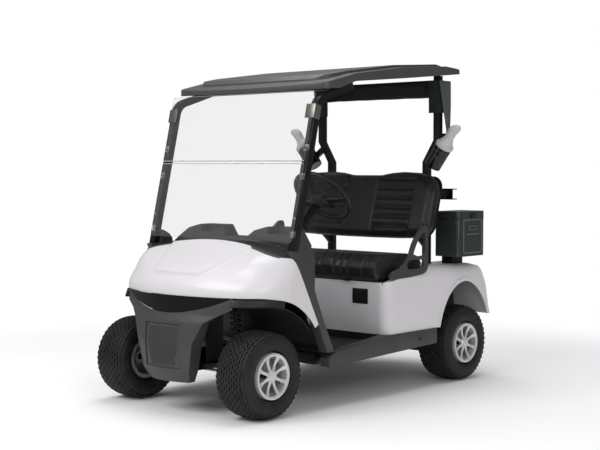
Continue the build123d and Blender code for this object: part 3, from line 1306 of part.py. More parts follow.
with BuildPart() as bag_cover:
    with Locations((0, (COVER_BAND_Y[0] + COVER_BAND_Y[1]) / 2, (COVER_BAND_Z[0] + COVER_BAND_Z[1]) / 2)):
        Box(2 * COVER_HALF_W, COVER_BAND_Y[1] - COVER_BAND_Y[0], COVER_BAND_Z[1] - COVER_BAND_Z[0])
    with BuildSketch(Plane.YZ.offset(COVER_HALF_W - ARM_T)):
        with BuildLine():
            Polyline((674, 1750), (716, 1750), (706, 1450), (676, 1450), close=True)
        make_face()
        with Locations(COVER_PIVOT):
            Circle(PIVOT_R + RUN_GAP, mode=Mode.SUBTRACT)
    extrude(amount=ARM_T)
    mirror(about=Plane.YZ)
bag_cover.part.label = "bag_cover"
export_step(bag_cover.part, "parts/bag_cover.step")
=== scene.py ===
"""A two-place golf cart with a canopy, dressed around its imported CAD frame.

Metres. +Z is up from the ground, the cart drives towards -Y and its left side is +X.
"""
import logging
import math
from dataclasses import dataclass
from enum import Enum
from typing import Callable, ClassVar

import bmesh
import bpy
from mathutils import Matrix, Vector
from mathutils.bvhtree import BVHTree


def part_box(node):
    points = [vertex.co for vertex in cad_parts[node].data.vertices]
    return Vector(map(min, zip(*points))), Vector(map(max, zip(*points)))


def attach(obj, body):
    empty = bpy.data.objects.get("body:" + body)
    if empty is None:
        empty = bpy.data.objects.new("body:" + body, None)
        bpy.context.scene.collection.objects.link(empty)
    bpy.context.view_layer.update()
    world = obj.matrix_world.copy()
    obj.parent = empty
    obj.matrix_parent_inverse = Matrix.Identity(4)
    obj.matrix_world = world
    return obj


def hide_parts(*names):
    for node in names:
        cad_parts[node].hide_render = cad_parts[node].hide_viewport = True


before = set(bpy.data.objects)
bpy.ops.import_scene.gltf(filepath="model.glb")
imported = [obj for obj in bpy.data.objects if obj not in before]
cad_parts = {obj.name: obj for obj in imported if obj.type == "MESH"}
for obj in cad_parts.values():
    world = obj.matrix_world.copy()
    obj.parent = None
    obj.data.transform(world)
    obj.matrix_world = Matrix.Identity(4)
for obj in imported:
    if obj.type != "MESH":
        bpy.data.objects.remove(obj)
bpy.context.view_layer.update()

LOG = logging.getLogger("golf_cart")
MM = 0.001
WELD = 1e-5          # points closer than this are one
WHITE = (1.0, 1.0, 1.0, 1.0)
SIDES = ((1, "left"), (-1, "right"))

Socket = bpy.types.NodeSocket
Tree = bpy.types.NodeTree
Object = bpy.types.Object
Mesh = bmesh.types.BMesh
Vert = bmesh.types.BMVert
Edge = bmesh.types.BMEdge
Face = bmesh.types.BMFace
Pair = tuple[float, float]
Point = tuple[float, float, float]
Outline = tuple[Pair, ...]
Rows = list[list[Vector]]


# ---- small tools ---------------------------------------------------------------


def linear(code: str) -> tuple[float, float, float, float]:
    """Turns an sRGB hex colour into linear light.

    Args:
        code: the colour as six hex digits.

    Returns:
        Red, green, blue and an alpha of one.
    """
    channels = [int(code[i:i + 2], 16) / 255 for i in (0, 2, 4)]
    return (*[c / 12.92 if c <= 0.04045 else ((c + 0.055) / 1.055) ** 2.4 for c in channels], 1.0)


def add(tree: Tree, kind: str, inputs: dict | None = None, **settings) -> bpy.types.Node:
    """Adds one node with its settings, values and links.

    Args:
        tree: the node tree that takes the node.
        kind: the node's type.
        inputs: a value or an output socket for each input, by name or number.
        **settings: the node's own attributes.

    Returns:
        The new node.
    """
    node = tree.nodes.new(kind)
    for name, value in settings.items():
        setattr(node, name, value)
    for key, value in (inputs or {}).items():
        if isinstance(value, Socket):
            tree.links.new(value, node.inputs[key])
        else:
            node.inputs[key].default_value = value
    return node


def to_object(bm: Mesh, name: str, crease: float = 35.0) -> Object:
    """Turns a bmesh into an object at the origin, smooth across shallow edges.

    Args:
        bm: the mesh, which is freed.
        name: the piece's name.
        crease: the angle in degrees from which an edge stays sharp.

    Returns:
        The new object, linked to the scene.
    """
    limit = math.radians(crease)
    for face in bm.faces:
        face.smooth = True
    for edge in bm.edges:
        edge.smooth = len(edge.link_faces) == 2 and edge.calc_face_angle(0.0) < limit
    mesh = bpy.data.meshes.new(name)
    bm.to_mesh(mesh)
    bm.free()
    piece = bpy.data.objects.new(name, mesh)
    bpy.context.scene.collection.objects.link(piece)
    return piece


def loop_of(bm: Mesh, points: list[Vector]) -> list[Edge]:
    """Adds a closed ring of vertices and edges.

    Args:
        bm: the mesh that takes the ring.
        points: the ring's corners, in order.

    Returns:
        The ring's edges.
    """
    verts = [bm.verts.new(p) for p in points]
    return [bm.edges.new((a, b)) for a, b in zip(verts, verts[1:] + verts[:1])]


def loft(bm: Mesh, rings: Rows) -> None:
    """Bridges rings of the same count one after another, and closes the ends.

    Args:
        bm: the mesh that takes the loft.
        rings: the sections, in order.
    """
    loops = [loop_of(bm, ring) for ring in rings]
    for lower, upper in zip(loops, loops[1:]):
        bmesh.ops.bridge_loops(bm, edges=lower + upper)
    for ends in (loops[0], loops[-1]):
        bmesh.ops.contextual_create(bm, geom=ends)
    outwards(bm)


def sheet_of(bm: Mesh, rows: Rows) -> None:
    """Joins rows of points into a sheet of quads.

    Args:
        bm: the mesh that takes the sheet.
        rows: rows of the same count.
    """
    grid = [[bm.verts.new(p) for p in row] for row in rows]
    for lower, upper in zip(grid, grid[1:]):
        for i in range(len(lower) - 1):
            bm.faces.new((lower[i], lower[i + 1], upper[i + 1], upper[i]))


def tube_rings(path: list[Vector], radii: list[float], sides: int) -> Rows:
    """Works out rings round a path.

    Args:
        path: the middle line.
        radii: the radius at each point of the path.
        sides: corners in a ring.

    Returns:
        One ring for each point.
    """
    rings = []
    for i, (point, radius) in enumerate(zip(path, radii)):
        ahead = (path[min(i + 1, len(path) - 1)] - path[max(i - 1, 0)]).normalized()
        side = ahead.cross(Vector((0, 0, 1)) if abs(ahead.z) < 0.9 else Vector((0, 1, 0))).normalized()
        up = side.cross(ahead)
        rings.append([point + (side * math.cos(t) + up * math.sin(t)) * radius
                      for t in (math.tau * k / sides for k in range(sides))])
    return rings


def spin_section(bm: Mesh, section: list[Vector], centre: Vector, axis: Vector, steps: int) -> None:
    """Spins a line of points into a skin round an axis.

    Args:
        bm: the mesh that takes the skin.
        section: the line.
        centre: a point of the axis.
        axis: its direction.
        steps: segments round it.
    """
    verts = [bm.verts.new(p) for p in section]
    edges = [bm.edges.new(pair) for pair in zip(verts, verts[1:])]
    bmesh.ops.spin(bm, geom=verts + edges, cent=centre, axis=axis, angle=math.tau, steps=steps,
                   use_merge=True)
    bmesh.ops.remove_doubles(bm, verts=bm.verts, dist=WELD)


def everything(bm: Mesh) -> list[Vert | Edge | Face]:
    """Lists a mesh's vertices, edges and faces."""
    return bm.verts[:] + bm.edges[:] + bm.faces[:]


def edges_of(verts: list[Vert]) -> list[Edge]:
    """Lists the edges at some vertices, each once and in a fixed order."""
    return list(dict.fromkeys(edge for vert in verts for edge in vert.link_edges))


def outwards(bm: Mesh) -> None:
    """Turns a mesh's faces outwards."""
    bmesh.ops.recalc_face_normals(bm, faces=bm.faces)


def round_edges(bm: Mesh, edges: list[Edge], radius: float, segments: int) -> None:
    """Rounds a mesh's edges.

    Args:
        bm: the mesh.
        edges: its edges to round.
        radius: the radius.
        segments: quads across the rounding.
    """
    bmesh.ops.bevel(bm, geom=edges, offset=radius, segments=segments, profile=0.5, affect="EDGES",
                    material=-1)


def cone(bm: Mesh, lower: float, upper: float, length: float, sides: int, place: Matrix) -> None:
    """Adds a closed cone or cylinder.

    Args:
        bm: the mesh that takes it.
        lower: its radius at one end.
        upper: its radius at the other.
        length: its length.
        sides: its sides.
        place: its placement, with z along it.
    """
    bmesh.ops.create_cone(bm, cap_ends=True, segments=sides, radius1=lower, radius2=upper, depth=length,
                          matrix=place)


def mirror_x(bm: Mesh, merge: float = 0.0) -> None:
    """Adds the mirror image across the middle plane and turns the faces outwards.

    Args:
        bm: the mesh.
        merge: points of the two halves closer than this become one.
    """
    bmesh.ops.mirror(bm, geom=everything(bm), axis="X", merge_dist=merge)
    if merge:
        bmesh.ops.remove_doubles(bm, verts=bm.verts, dist=merge)
    outwards(bm)


def extrude(bm: Mesh, faces: list[Face], step: Vector, keep: bool = False) -> None:
    """Extrudes faces and turns all faces outwards.

    Args:
        bm: the mesh.
        faces: the faces.
        step: how far and in which direction.
        keep: whether the first faces stay.
    """
    grown = bmesh.ops.extrude_face_region(bm, geom=faces, use_keep_orig=keep)["geom"]
    bmesh.ops.translate(bm, verts=[v for v in grown if isinstance(v, Vert)], vec=step)
    outwards(bm)


def blank(outline: list[Vector], step: Vector, rim: float, segments: int) -> Mesh:
    """Makes the block that a pad is stuffed from, with rounded rims.

    Args:
        outline: its section.
        step: how far and in which direction the section is extruded.
        rim: the rims' radius.
        segments: steps round a rim.

    Returns:
        The block's mesh.
    """
    bm = bmesh.new()
    extrude(bm, bmesh.ops.contextual_create(bm, geom=loop_of(bm, outline))["faces"], step)
    rims = [e for e in bm.edges if e.calc_face_angle(0) > math.radians(69)]
    round_edges(bm, rims, rim, segments)
    return bm


def block(bm: Mesh, low: Point, high: Point, round_m: float, turn: Matrix | None = None) -> None:
    """Adds a box between two corners, with rounded edges.

    Args:
        bm: the mesh that takes the box.
        low: its lowest corner.
        high: its highest corner.
        round_m: the edges' radius.
        turn: a placement for the finished box.
    """
    size = Vector(high) - Vector(low)
    place = (turn or Matrix()) @ Matrix.Translation((Vector(low) + Vector(high)) / 2)
    cube = bmesh.ops.create_cube(bm, size=1.0, matrix=place @ Matrix.Diagonal((*size, 1)))["verts"]
    round_edges(bm, edges_of(cube), round_m, 3)


def step_up(value: float, start: float, end: float) -> float:
    """Rises smoothly from 0 to 1.

    Args:
        value: the measure.
        start: where it starts to rise.
        end: where it has risen.

    Returns:
        The share from 0 to 1.
    """
    share = min(1.0, max(0.0, (value - start) / (end - start)))
    return share * share * (3 - 2 * share)


def modifier(piece: Object, name: str, kind: str, **settings) -> bpy.types.Modifier:
    """Adds one modifier with its settings.

    Args:
        piece: the object that takes it.
        name: the modifier's name.
        kind: the modifier's type.
        **settings: the modifier's own attributes.

    Returns:
        The new modifier.
    """
    made = piece.modifiers.new(name, kind)
    for key, value in settings.items():
        setattr(made, key, value)
    return made


def bake(piece: Object) -> None:
    """Applies every modifier of a piece to its mesh."""
    graph = bpy.context.evaluated_depsgraph_get()
    mesh = bpy.data.meshes.new_from_object(piece.evaluated_get(graph))
    piece.modifiers.clear()
    piece.data = mesh


# ---- finishes --------------------------------------------------------------------


class Relief(Enum):
    """How a finish's fine surface relief is made."""

    GRAIN = "grain"        # fine moulded or sprayed noise
    PEBBLE = "pebble"      # embossed leather-like cells
    WEAVE = "weave"        # two crossing sets of threads
    RIB = "rib"            # straight parallel ribs
    BRUSH = "brush"        # long fine scratches


@dataclass(frozen=True)
class Finish:
    """One material: what it is made of and how its surface was made.

    Colours are sRGB hex. Sizes are in millimetres of the real surface.

    Attributes:
        name: the material's name.
        colour: its colour.
        shade: a second colour that it wanders to.
        rough: roughness.
        rough_spread: how far that wanders.
        relief: the pattern of its surface.
        pitch_mm: the pattern's size.
        depth_mm: its depth.
        mottle_mm: size of the patches in which colour and roughness wander.
        metallic: share of bare metal.
        ior: refraction of what isn't metal.
        coat: weight of the clear coat.
        coat_rough: its roughness.
        sheen: weight of the cloth-like sheen.
        clear: share of light let through.
        dust: colour of the dust on it, if any.
        dust_share: how much of it the thickest dust hides.
    """

    name: str
    colour: str
    shade: str
    rough: float
    rough_spread: float = 0.06
    relief: Relief = Relief.GRAIN
    pitch_mm: float = 1.0
    depth_mm: float = 0.05
    mottle_mm: float = 120.0
    metallic: float = 0.0
    ior: float = 1.5
    coat: float = 0.0
    coat_rough: float = 0.05
    sheen: float = 0.0
    clear: float = 0.0
    dust: str = ""
    dust_share: float = 0.0
    patches: ClassVar[Pair] = (0.3, 0.7)          # the noise's low and high values
    dusty: ClassVar[Pair] = (0.35, 0.75)          # where dust starts and is thickest
    scratch: ClassVar[Point] = (1.0, 1.0, 0.03)   # squeezes noise into long scratches

    def height(self, tree: Tree, place: Socket) -> Socket:
        """Builds the relief pattern.

        Args:
            tree: the material's nodes.
            place: Object coordinates in metres.

        Returns:
            The relief's height from 0 to 1.
        """
        scale = 1.0 / (self.pitch_mm * MM)
        if self.relief is Relief.PEBBLE:
            cells = add(tree, "ShaderNodeTexVoronoi", {"Vector": place, "Scale": scale}, feature="SMOOTH_F1")
            return add(tree, "ShaderNodeMapRange", {"Value": cells.outputs["Distance"], "From Max": 0.8,
                                                    "To Min": 1.0, "To Max": 0.0}).outputs["Result"]
        if self.relief in (Relief.WEAVE, Relief.RIB):
            waves = [add(tree, "ShaderNodeTexWave", {"Vector": place, "Scale": scale / math.tau * 2},
                         bands_direction=axis) for axis in ("X", "Z")]
            if self.relief is Relief.RIB:
                return waves[0].outputs["Fac"]
            return add(tree, "ShaderNodeMath", {0: waves[0].outputs["Fac"], 1: waves[1].outputs["Fac"]},
                       operation="MAXIMUM").outputs[0]
        stretched = place
        if self.relief is Relief.BRUSH:
            stretched = add(tree, "ShaderNodeMapping", {"Vector": place, "Scale": self.scratch}).outputs[0]
        noise = add(tree, "ShaderNodeTexNoise", {"Vector": stretched, "Scale": scale, "Detail": 3.0})
        return noise.outputs["Fac"]

    def build(self) -> bpy.types.Material:
        """Makes the material.

        Returns:
            The new material.
        """
        material = bpy.data.materials.new(self.name)
        material.use_nodes = True
        tree = material.node_tree
        shader = tree.nodes["Principled BSDF"]
        place = add(tree, "ShaderNodeTexCoord").outputs["Object"]
        cloud = add(tree, "ShaderNodeTexNoise",
                    {"Vector": place, "Scale": 1.0 / (self.mottle_mm * MM), "Detail": 5.0, "Roughness": 0.6})
        tint = add(tree, "ShaderNodeMix", {"Factor": cloud.outputs["Fac"], "A": linear(self.colour),
                                           "B": linear(self.shade)}, data_type="RGBA")
        colour = tint.outputs["Result"]
        if self.dust:
            cover = add(tree, "ShaderNodeMapRange", {"Value": cloud.outputs["Fac"], "From Min": self.dusty[0],
                                                     "From Max": self.dusty[1], "To Max": self.dust_share})
            colour = add(tree, "ShaderNodeMix", {"Factor": cover.outputs["Result"], "A": colour,
                                                 "B": linear(self.dust)}, data_type="RGBA").outputs["Result"]
        tree.links.new(colour, shader.inputs["Base Color"])
        low, high = self.patches
        spread = add(tree, "ShaderNodeMapRange", {"Value": cloud.outputs["Fac"], "From Min": low,
                                                  "From Max": high,
                                                  "To Min": max(0.02, self.rough - self.rough_spread),
                                                  "To Max": self.rough + self.rough_spread})
        tree.links.new(spread.outputs["Result"], shader.inputs["Roughness"])
        shader.inputs["Metallic"].default_value = self.metallic
        if not self.metallic:
            shader.inputs["IOR"].default_value = self.ior
        shader.inputs["Coat Weight"].default_value = self.coat
        shader.inputs["Coat Roughness"].default_value = self.coat_rough
        shader.inputs["Sheen Weight"].default_value = self.sheen
        shader.inputs["Transmission Weight"].default_value = self.clear
        if self.depth_mm:
            bump = add(tree, "ShaderNodeBump", {"Height": self.height(tree, place), "Strength": 1.0,
                                                "Distance": self.depth_mm * MM})
            tree.links.new(bump.outputs["Normal"], shader.inputs["Normal"])
        return material


class Finishes:
    """The cart's materials, each made once.

    Grain, pebbles and threads are drawn a few times coarser than the real ones, so that they show.
    """

    specs = {
        # two-coat white enamel over moulded thermoplastic: glossy, very faint orange peel
        "body_enamel": Finish("white_enamel_over_moulded_panel", "DEDBDE", "D9D6DA", 0.38, 0.03,
                              pitch_mm=9.0, depth_mm=0.02, mottle_mm=300, coat=0.25, coat_rough=0.12),
        # moulded polypropylene with a fine spark-eroded texture: dull, with soft highlights
        "charcoal_moulded": Finish("charcoal_textured_polypropylene", "413F41", "3B393B", 0.5, pitch_mm=1.2,
                                   depth_mm=0.06, ior=1.49),
        # the same in black, for the liners and hidden panels
        "black_moulded": Finish("black_textured_polypropylene", "161617", "121213", 0.5, pitch_mm=1.2,
                                depth_mm=0.06, ior=1.49),
        # polished black acrylic with a clear top coat: mirror-like
        "gloss_black": Finish("polished_black_acrylic", "0E0E0F", "111112", 0.12, 0.03, pitch_mm=20,
                              depth_mm=0.01, ior=1.4, coat=0.15, coat_rough=0.03),
        # thermoformed ABS canopy with a hair-cell grain
        "roof_abs": Finish("thermoformed_charcoal_ABS", "4A484A", "434143", 0.42, relief=Relief.PEBBLE,
                           pitch_mm=3.0, depth_mm=0.05, ior=1.52),
        # satin acrylic extrusion between the panes: a pale line
        "frosted_strip": Finish("satin_acrylic_hinge_strip", "D9D9DA", "D2D2D3", 0.3, depth_mm=0.0,
                                ior=1.49, clear=0.6),
        # cast acrylic sheet, polished: clear and faintly grey
        "clear_acrylic": Finish("clear_cast_acrylic", "F4F4F5", "F4F4F5", 0.02, 0.0, depth_mm=0.0, ior=1.49,
                                clear=1.0),
        # black polyester powder coat on steel tube: satin, with orange peel
        "powder_coat": Finish("black_powder_coated_steel", "0F1010", "0C0C0D", 0.38, pitch_mm=2.5,
                              depth_mm=0.04, ior=1.38),
        # brushed stainless steel: bright, with long fine scratches
        "stainless": Finish("brushed_stainless_steel", "A9A5A0", "98948F", 0.3, relief=Relief.BRUSH,
                            pitch_mm=0.6, depth_mm=0.02, metallic=1.0),
        # sand-cast iron, painted over: rough, dark and mottled
        "cast_iron": Finish("sand_cast_iron", "3A3938", "2C2B2A", 0.62, pitch_mm=1.5, depth_mm=0.15,
                            metallic=0.6, mottle_mm=25),
        # moulded rubber mat: matt, with raised squares
        "mat_rubber": Finish("moulded_ribbed_rubber", "1C1C1D", "232324", 0.62, relief=Relief.WEAVE,
                             pitch_mm=12, depth_mm=1.2, mottle_mm=60),
        # carbon-black tyre rubber with a trace of grey dust
        "tyre_rubber": Finish("carbon_black_tyre_rubber", "131314", "0F0F10", 0.6, pitch_mm=2.0,
                              depth_mm=0.08, mottle_mm=45, ior=1.4, dust="6B6866", dust_share=0.13),
        # stove enamel on pressed steel: plain grey behind the covers
        "rim_enamel": Finish("grey_enamelled_steel_rim", "8F8E90", "848386", 0.4, pitch_mm=3,
                             depth_mm=0.03),
        # silver paint with metal flake under lacquer on moulded ABS: pale, half metallic
        "wheel_silver": Finish("silver_painted_ABS_cover", "D6D4D6", "CDCBCE", 0.34, pitch_mm=0.6,
                               depth_mm=0.01, metallic=0.35, coat=0.4, coat_rough=0.1),
        # marine vinyl embossed with a leather grain: black, with broad dull highlights
        "vinyl": Finish("embossed_black_vinyl", "171617", "131213", 0.44, 0.05, relief=Relief.PEBBLE,
                        pitch_mm=1.8, depth_mm=0.1, mottle_mm=90, sheen=0.05),
        # blow-moulded polyethylene: pale and waxy
        "pale_poly": Finish("pale_polyethylene", "C9C5CA", "C2BEC4", 0.42, pitch_mm=1.5, depth_mm=0.03),
        # injection-moulded polyethylene, dark green: lightly textured, half gloss
        "cooler_green": Finish("dark_green_moulded_cooler_plastic", "2C3534", "27302F", 0.33, pitch_mm=1.8,
                               depth_mm=0.05, coat=0.2, coat_rough=0.2),
        # its raised frame, in a paler colour than the cooler: a painted highlight along its edges
        "cooler_edge_highlight_paint": Finish("cooler_trim_painted_highlight_plastic", "66706E", "5D6765", 0.35, pitch_mm=1.8,
                              depth_mm=0.04),
        # solution-dyed canvas: dark green, matt, with a plain weave
        "canvas": Finish("dark_green_woven_canvas", "171B1A", "131716", 0.8, relief=Relief.WEAVE,
                         pitch_mm=2.4, depth_mm=0.3, mottle_mm=70, sheen=0.1),
        # the same canvas, drawn lighter on the side wings
        "wing_canvas": Finish("lighter_green_woven_canvas", "46504E", "3D4644", 0.75, relief=Relief.WEAVE,
                              pitch_mm=2.4, depth_mm=0.3, mottle_mm=70, sheen=0.2),
        # moulded battery housing: plain grey
        "grey_poly": Finish("battery_polypropylene_block", "55565A", "4C4D50", 0.45, pitch_mm=2,
                            depth_mm=0.04),
    }

    def __init__(self) -> None:
        """Starts with no material made."""
        self.made: dict[str, bpy.types.Material] = {}

    def get(self, key: str) -> bpy.types.Material:
        """Gives a finish's material, made at its first use.

        Args:
            key: the finish's short name.

        Returns:
            The material.
        """
        if key not in self.made:
            self.made[key] = self.specs[key].build()
        return self.made[key]


FINISHES = Finishes()


def fit(piece: Object, finish: str, body: str, slot: str, *nodes: str) -> Object:
    """Dresses a new piece and ties it to the cart.

    Args:
        piece: the piece.
        finish: its finish's short name.
        body: the CAD body that it rides on.
        slot: not used.
        *nodes: the CAD nodes that it stands for.

    Returns:
        The piece.
    """
    if not piece.data.materials:
        piece.data.materials.append(FINISHES.get(finish))
    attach(piece, body)
    if nodes:
        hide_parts(*nodes)
    LOG.info("%s on %s", piece.name, body)
    return piece


# ---- carried-over solids ---------------------------------------------------------


class SolidDresser:
    """Gives the CAD nodes that stay their finish, soft edges and smooth shading."""

    # start of a node's name: finish and edge radius in millimetres
    looks = {
        "rear_body": ("body_enamel", 3.0), "visor": ("gloss_black", 0.0), "bumper": ("charcoal_moulded", 2.5),
        "fender_flares": ("black_moulded", 1.5), "wheel_liners": ("black_moulded", 0.0),
        "pillar_trims": ("charcoal_moulded", 2.0), "rockers": ("charcoal_moulded", 4.0),
        "dash": ("charcoal_moulded", 4.0), "floor": ("black_moulded", 1.0), "floor_mat": ("mat_rubber", 1.0),
        "roof": ("roof_abs", 3.0), "front_struts": ("powder_coat", 3.0), "rear_struts": ("powder_coat", 3.0),
        "windscreen": ("clear_acrylic", 0.0), "windscreen_clips": ("stainless", 0.6),
        "seat_base": ("black_moulded", 2.0), "backrest_shell": ("black_moulded", 2.0),
        "receptacle": ("black_moulded", 1.5), "steering_column": ("powder_coat", 1.0),
        "bottle_holders": ("gloss_black", 0.6), "cooler_box": ("cooler_green", 4.0),
        "cooler_lid": ("cooler_green", 4.0), "bag_rack": ("powder_coat", 1.0),
        "bag_well": ("black_moulded", 2.0), "battery": ("grey_poly", 3.0), "pedals": ("powder_coat", 1.0),
        "frame": ("powder_coat", 1.0),
        "front_suspension": ("powder_coat", 0.5), "rear_suspension": ("powder_coat", 0.5),
        "rear_axle": ("cast_iron", 1.0), "kingpins": ("stainless", 0.0), "knuckle": ("cast_iron", 1.0),
        "tie_rod": ("stainless", 0.5), "rim": ("rim_enamel", 0.8), "wheel_cover": ("wheel_silver", 0.8),
    }
    shallow = 32.0     # degrees up to which an edge is shaded smooth
    flat = 0.3         # degrees up to which faces are joined before the bevel
    sharp = 40.0       # degrees from which an edge is rounded

    def __init__(self) -> None:
        """Builds the shading group once."""
        self.group = self.shading_group()

    def shading_group(self) -> Tree:
        """Makes the nodes that shade a mesh smooth except over sharp edges.

        Returns:
            The geometry node group.
        """
        group = bpy.data.node_groups.new("smooth_over_shallow_edges", "GeometryNodeTree")
        group.interface.new_socket("Geometry", in_out="INPUT", socket_type="NodeSocketGeometry")
        group.interface.new_socket("Geometry", in_out="OUTPUT", socket_type="NodeSocketGeometry")
        source = add(group, "NodeGroupInput")
        soft = add(group, "GeometryNodeSetShadeSmooth", {"Geometry": source.outputs[0], "Shade Smooth": True})
        angle = add(group, "GeometryNodeInputMeshEdgeAngle")
        steep = add(group, "FunctionNodeCompare", {"A": angle.outputs["Unsigned Angle"],
                                                   "B": math.radians(self.shallow)}, operation="GREATER_THAN")
        sharp = add(group, "GeometryNodeSetShadeSmooth",
                    {"Geometry": soft.outputs[0], "Selection": steep.outputs[0], "Shade Smooth": False},
                    domain="EDGE")
        add(group, "NodeGroupOutput", {"Geometry": sharp.outputs[0]})
        return group

    def dress(self) -> None:
        """Dresses every CAD node that no other piece stands for."""
        for name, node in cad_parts.items():
            starts = [key for key in self.looks if name.startswith(key)]
            if not starts:
                continue
            finish, radius = self.looks[max(starts, key=len)]
            node.data.materials.clear()
            node.data.materials.append(FINISHES.get(finish))
            modifier(node, "weld", "WELD", merge_threshold=WELD)
            if radius:
                modifier(node, "flats", "DECIMATE", decimate_type="DISSOLVE",
                         angle_limit=math.radians(self.flat))
                modifier(node, "edges", "BEVEL", limit_method="ANGLE", angle_limit=math.radians(self.sharp),
                         width=radius * MM, segments=3, miter_outer="MITER_ARC")
            modifier(node, "shading", "NODES", node_group=self.group)


# ---- tyres -------------------------------------------------------------------------


@dataclass
class TurfTyre:
    """A low-pressure turf tyre with zig-zag ribs.

    Attributes:
        name: the wheel's short name.
        body: the CAD body that it rides on.
        wall: the wall's offsets from the middle plane and radii, from the bead to the shoulder.
        wall_width: the tyre's width that these offsets are for.
        crown: the tread's offsets and how far it lies under the top of the carcass.
        groove: depth of the carcass under the lugs.
        lug_width: a lug's size across the tread.
        lug_gap: space between two columns.
        lug_fill: a lug's share of its pitch.
        lug_round: the bevel on a lug's top.
        lug_root: how far a lug goes into the carcass, as a share of the groove.
        lug_top: how far under its top a lug is rounded, as a share of the groove.
        step: sideways shift of every other lug.
        columns: columns on each side of the middle one.
        pitches: pairs of lugs round the tyre.
        flat_half: half width of the flat middle of the tread.
        fall: how the tread falls away outside it, over the distance squared.
        spin_steps: segments round the carcass.
    """

    name: str
    body: str
    wall: Outline = ((0.071, 0.101), (0.071, 0.1265), (0.090, 0.1285), (0.0965, 0.1315), (0.100, 0.139),
                     (0.1035, 0.151), (0.105, 0.164), (0.1052, 0.176), (0.1035, 0.188), (0.099, 0.1995),
                     (0.091, 0.2085))
    wall_width: float = 0.210
    crown: Outline = ((0.080, 0.0065), (0.062, 0.0035), (0.040, 0.0012), (0.0, 0.0))
    groove: float = 0.007
    lug_width: float = 0.0135
    lug_gap: float = 0.0040
    lug_fill: float = 0.93
    lug_round: float = 0.0012
    lug_root: float = 0.2
    lug_top: float = 0.55
    step: float = 0.0042
    columns: int = 5
    pitches: int = 44
    flat_half: float = 0.03
    fall: float = 3.3
    spin_steps: int = 96

    def profile(self, width: float, radius: float) -> list[Pair]:
        """Lists the carcass section from bead to bead.

        Args:
            width: the tyre's width.
            radius: the tyre's outer radius.

        Returns:
            Offsets from the middle plane and radii.
        """
        half = [(x * width / self.wall_width, r) for x, r in self.wall]
        half += [(x, radius - self.groove - under) for x, under in self.crown]
        return half + [(-x, r) for x, r in reversed(half[:-1])]

    def lugs(self, centre: Vector, radius: float) -> bpy.types.Mesh:
        """Builds one pitch of lugs and copies it round the tyre.

        Args:
            centre: the tyre's middle.
            radius: its outer radius.

        Returns:
            The lugs' mesh.
        """
        bm = bmesh.new()
        arc = math.tau * radius / self.pitches
        height = self.groove * (1 + self.lug_root)
        for k in range(-self.columns, self.columns + 1):
            x = k * (self.lug_width + self.lug_gap)
            outside = max(0.0, abs(x) - self.flat_half)
            top = radius - outside ** 2 * self.fall
            tilt = math.copysign(math.atan(2 * outside * self.fall), x)
            for half, shift in ((0, self.step / 2), (1, -self.step / 2)):
                turn = (half + 0.5 * (k % 2)) * arc / 2 / radius
                place = (Matrix.Translation(centre) @ Matrix.Rotation(turn, 4, "X")
                         @ Matrix.Translation((x + shift, 0, top - height / 2))
                         @ Matrix.Rotation(tilt, 4, "Y")
                         @ Matrix.Diagonal((self.lug_width, arc / 2 * self.lug_fill, height, 1)))
                cube = bmesh.ops.create_cube(bm, size=1.0, matrix=place)["verts"]
                rims = [e for e in edges_of(cube)
                        if all((v.co - centre).length > top - self.groove * self.lug_top for v in e.verts)]
                round_edges(bm, rims, self.lug_round, 1)
        copies = self.pitches - 1
        bmesh.ops.spin(bm, geom=everything(bm), cent=centre, axis=(1, 0, 0),
                       angle=math.tau * copies / self.pitches, steps=copies, use_duplicate=True)
        mesh = bpy.data.meshes.new("lugs")
        bm.to_mesh(mesh)
        bm.free()
        return mesh

    def build(self) -> Object:
        """Builds the carcass by spinning and sets the lugs on it.

        Returns:
            The tyre.
        """
        node = f"tyre_{self.name}"
        low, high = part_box(node)
        centre = (low + high) / 2
        radius = (high.z - low.z) / 2
        bm = bmesh.new()
        section = [centre + Vector((x, 0, r)) for x, r in self.profile(high.x - low.x, radius)]
        spin_section(bm, section, centre, Vector((1, 0, 0)), self.spin_steps)
        outwards(bm)
        lugs = self.lugs(centre, radius)
        bm.from_mesh(lugs)
        bpy.data.meshes.remove(lugs)
        return fit(to_object(bm, f"tread_{node}", 28), "tyre_rubber", self.body, "tyre_rubber", node)


# ---- front body ------------------------------------------------------------------------


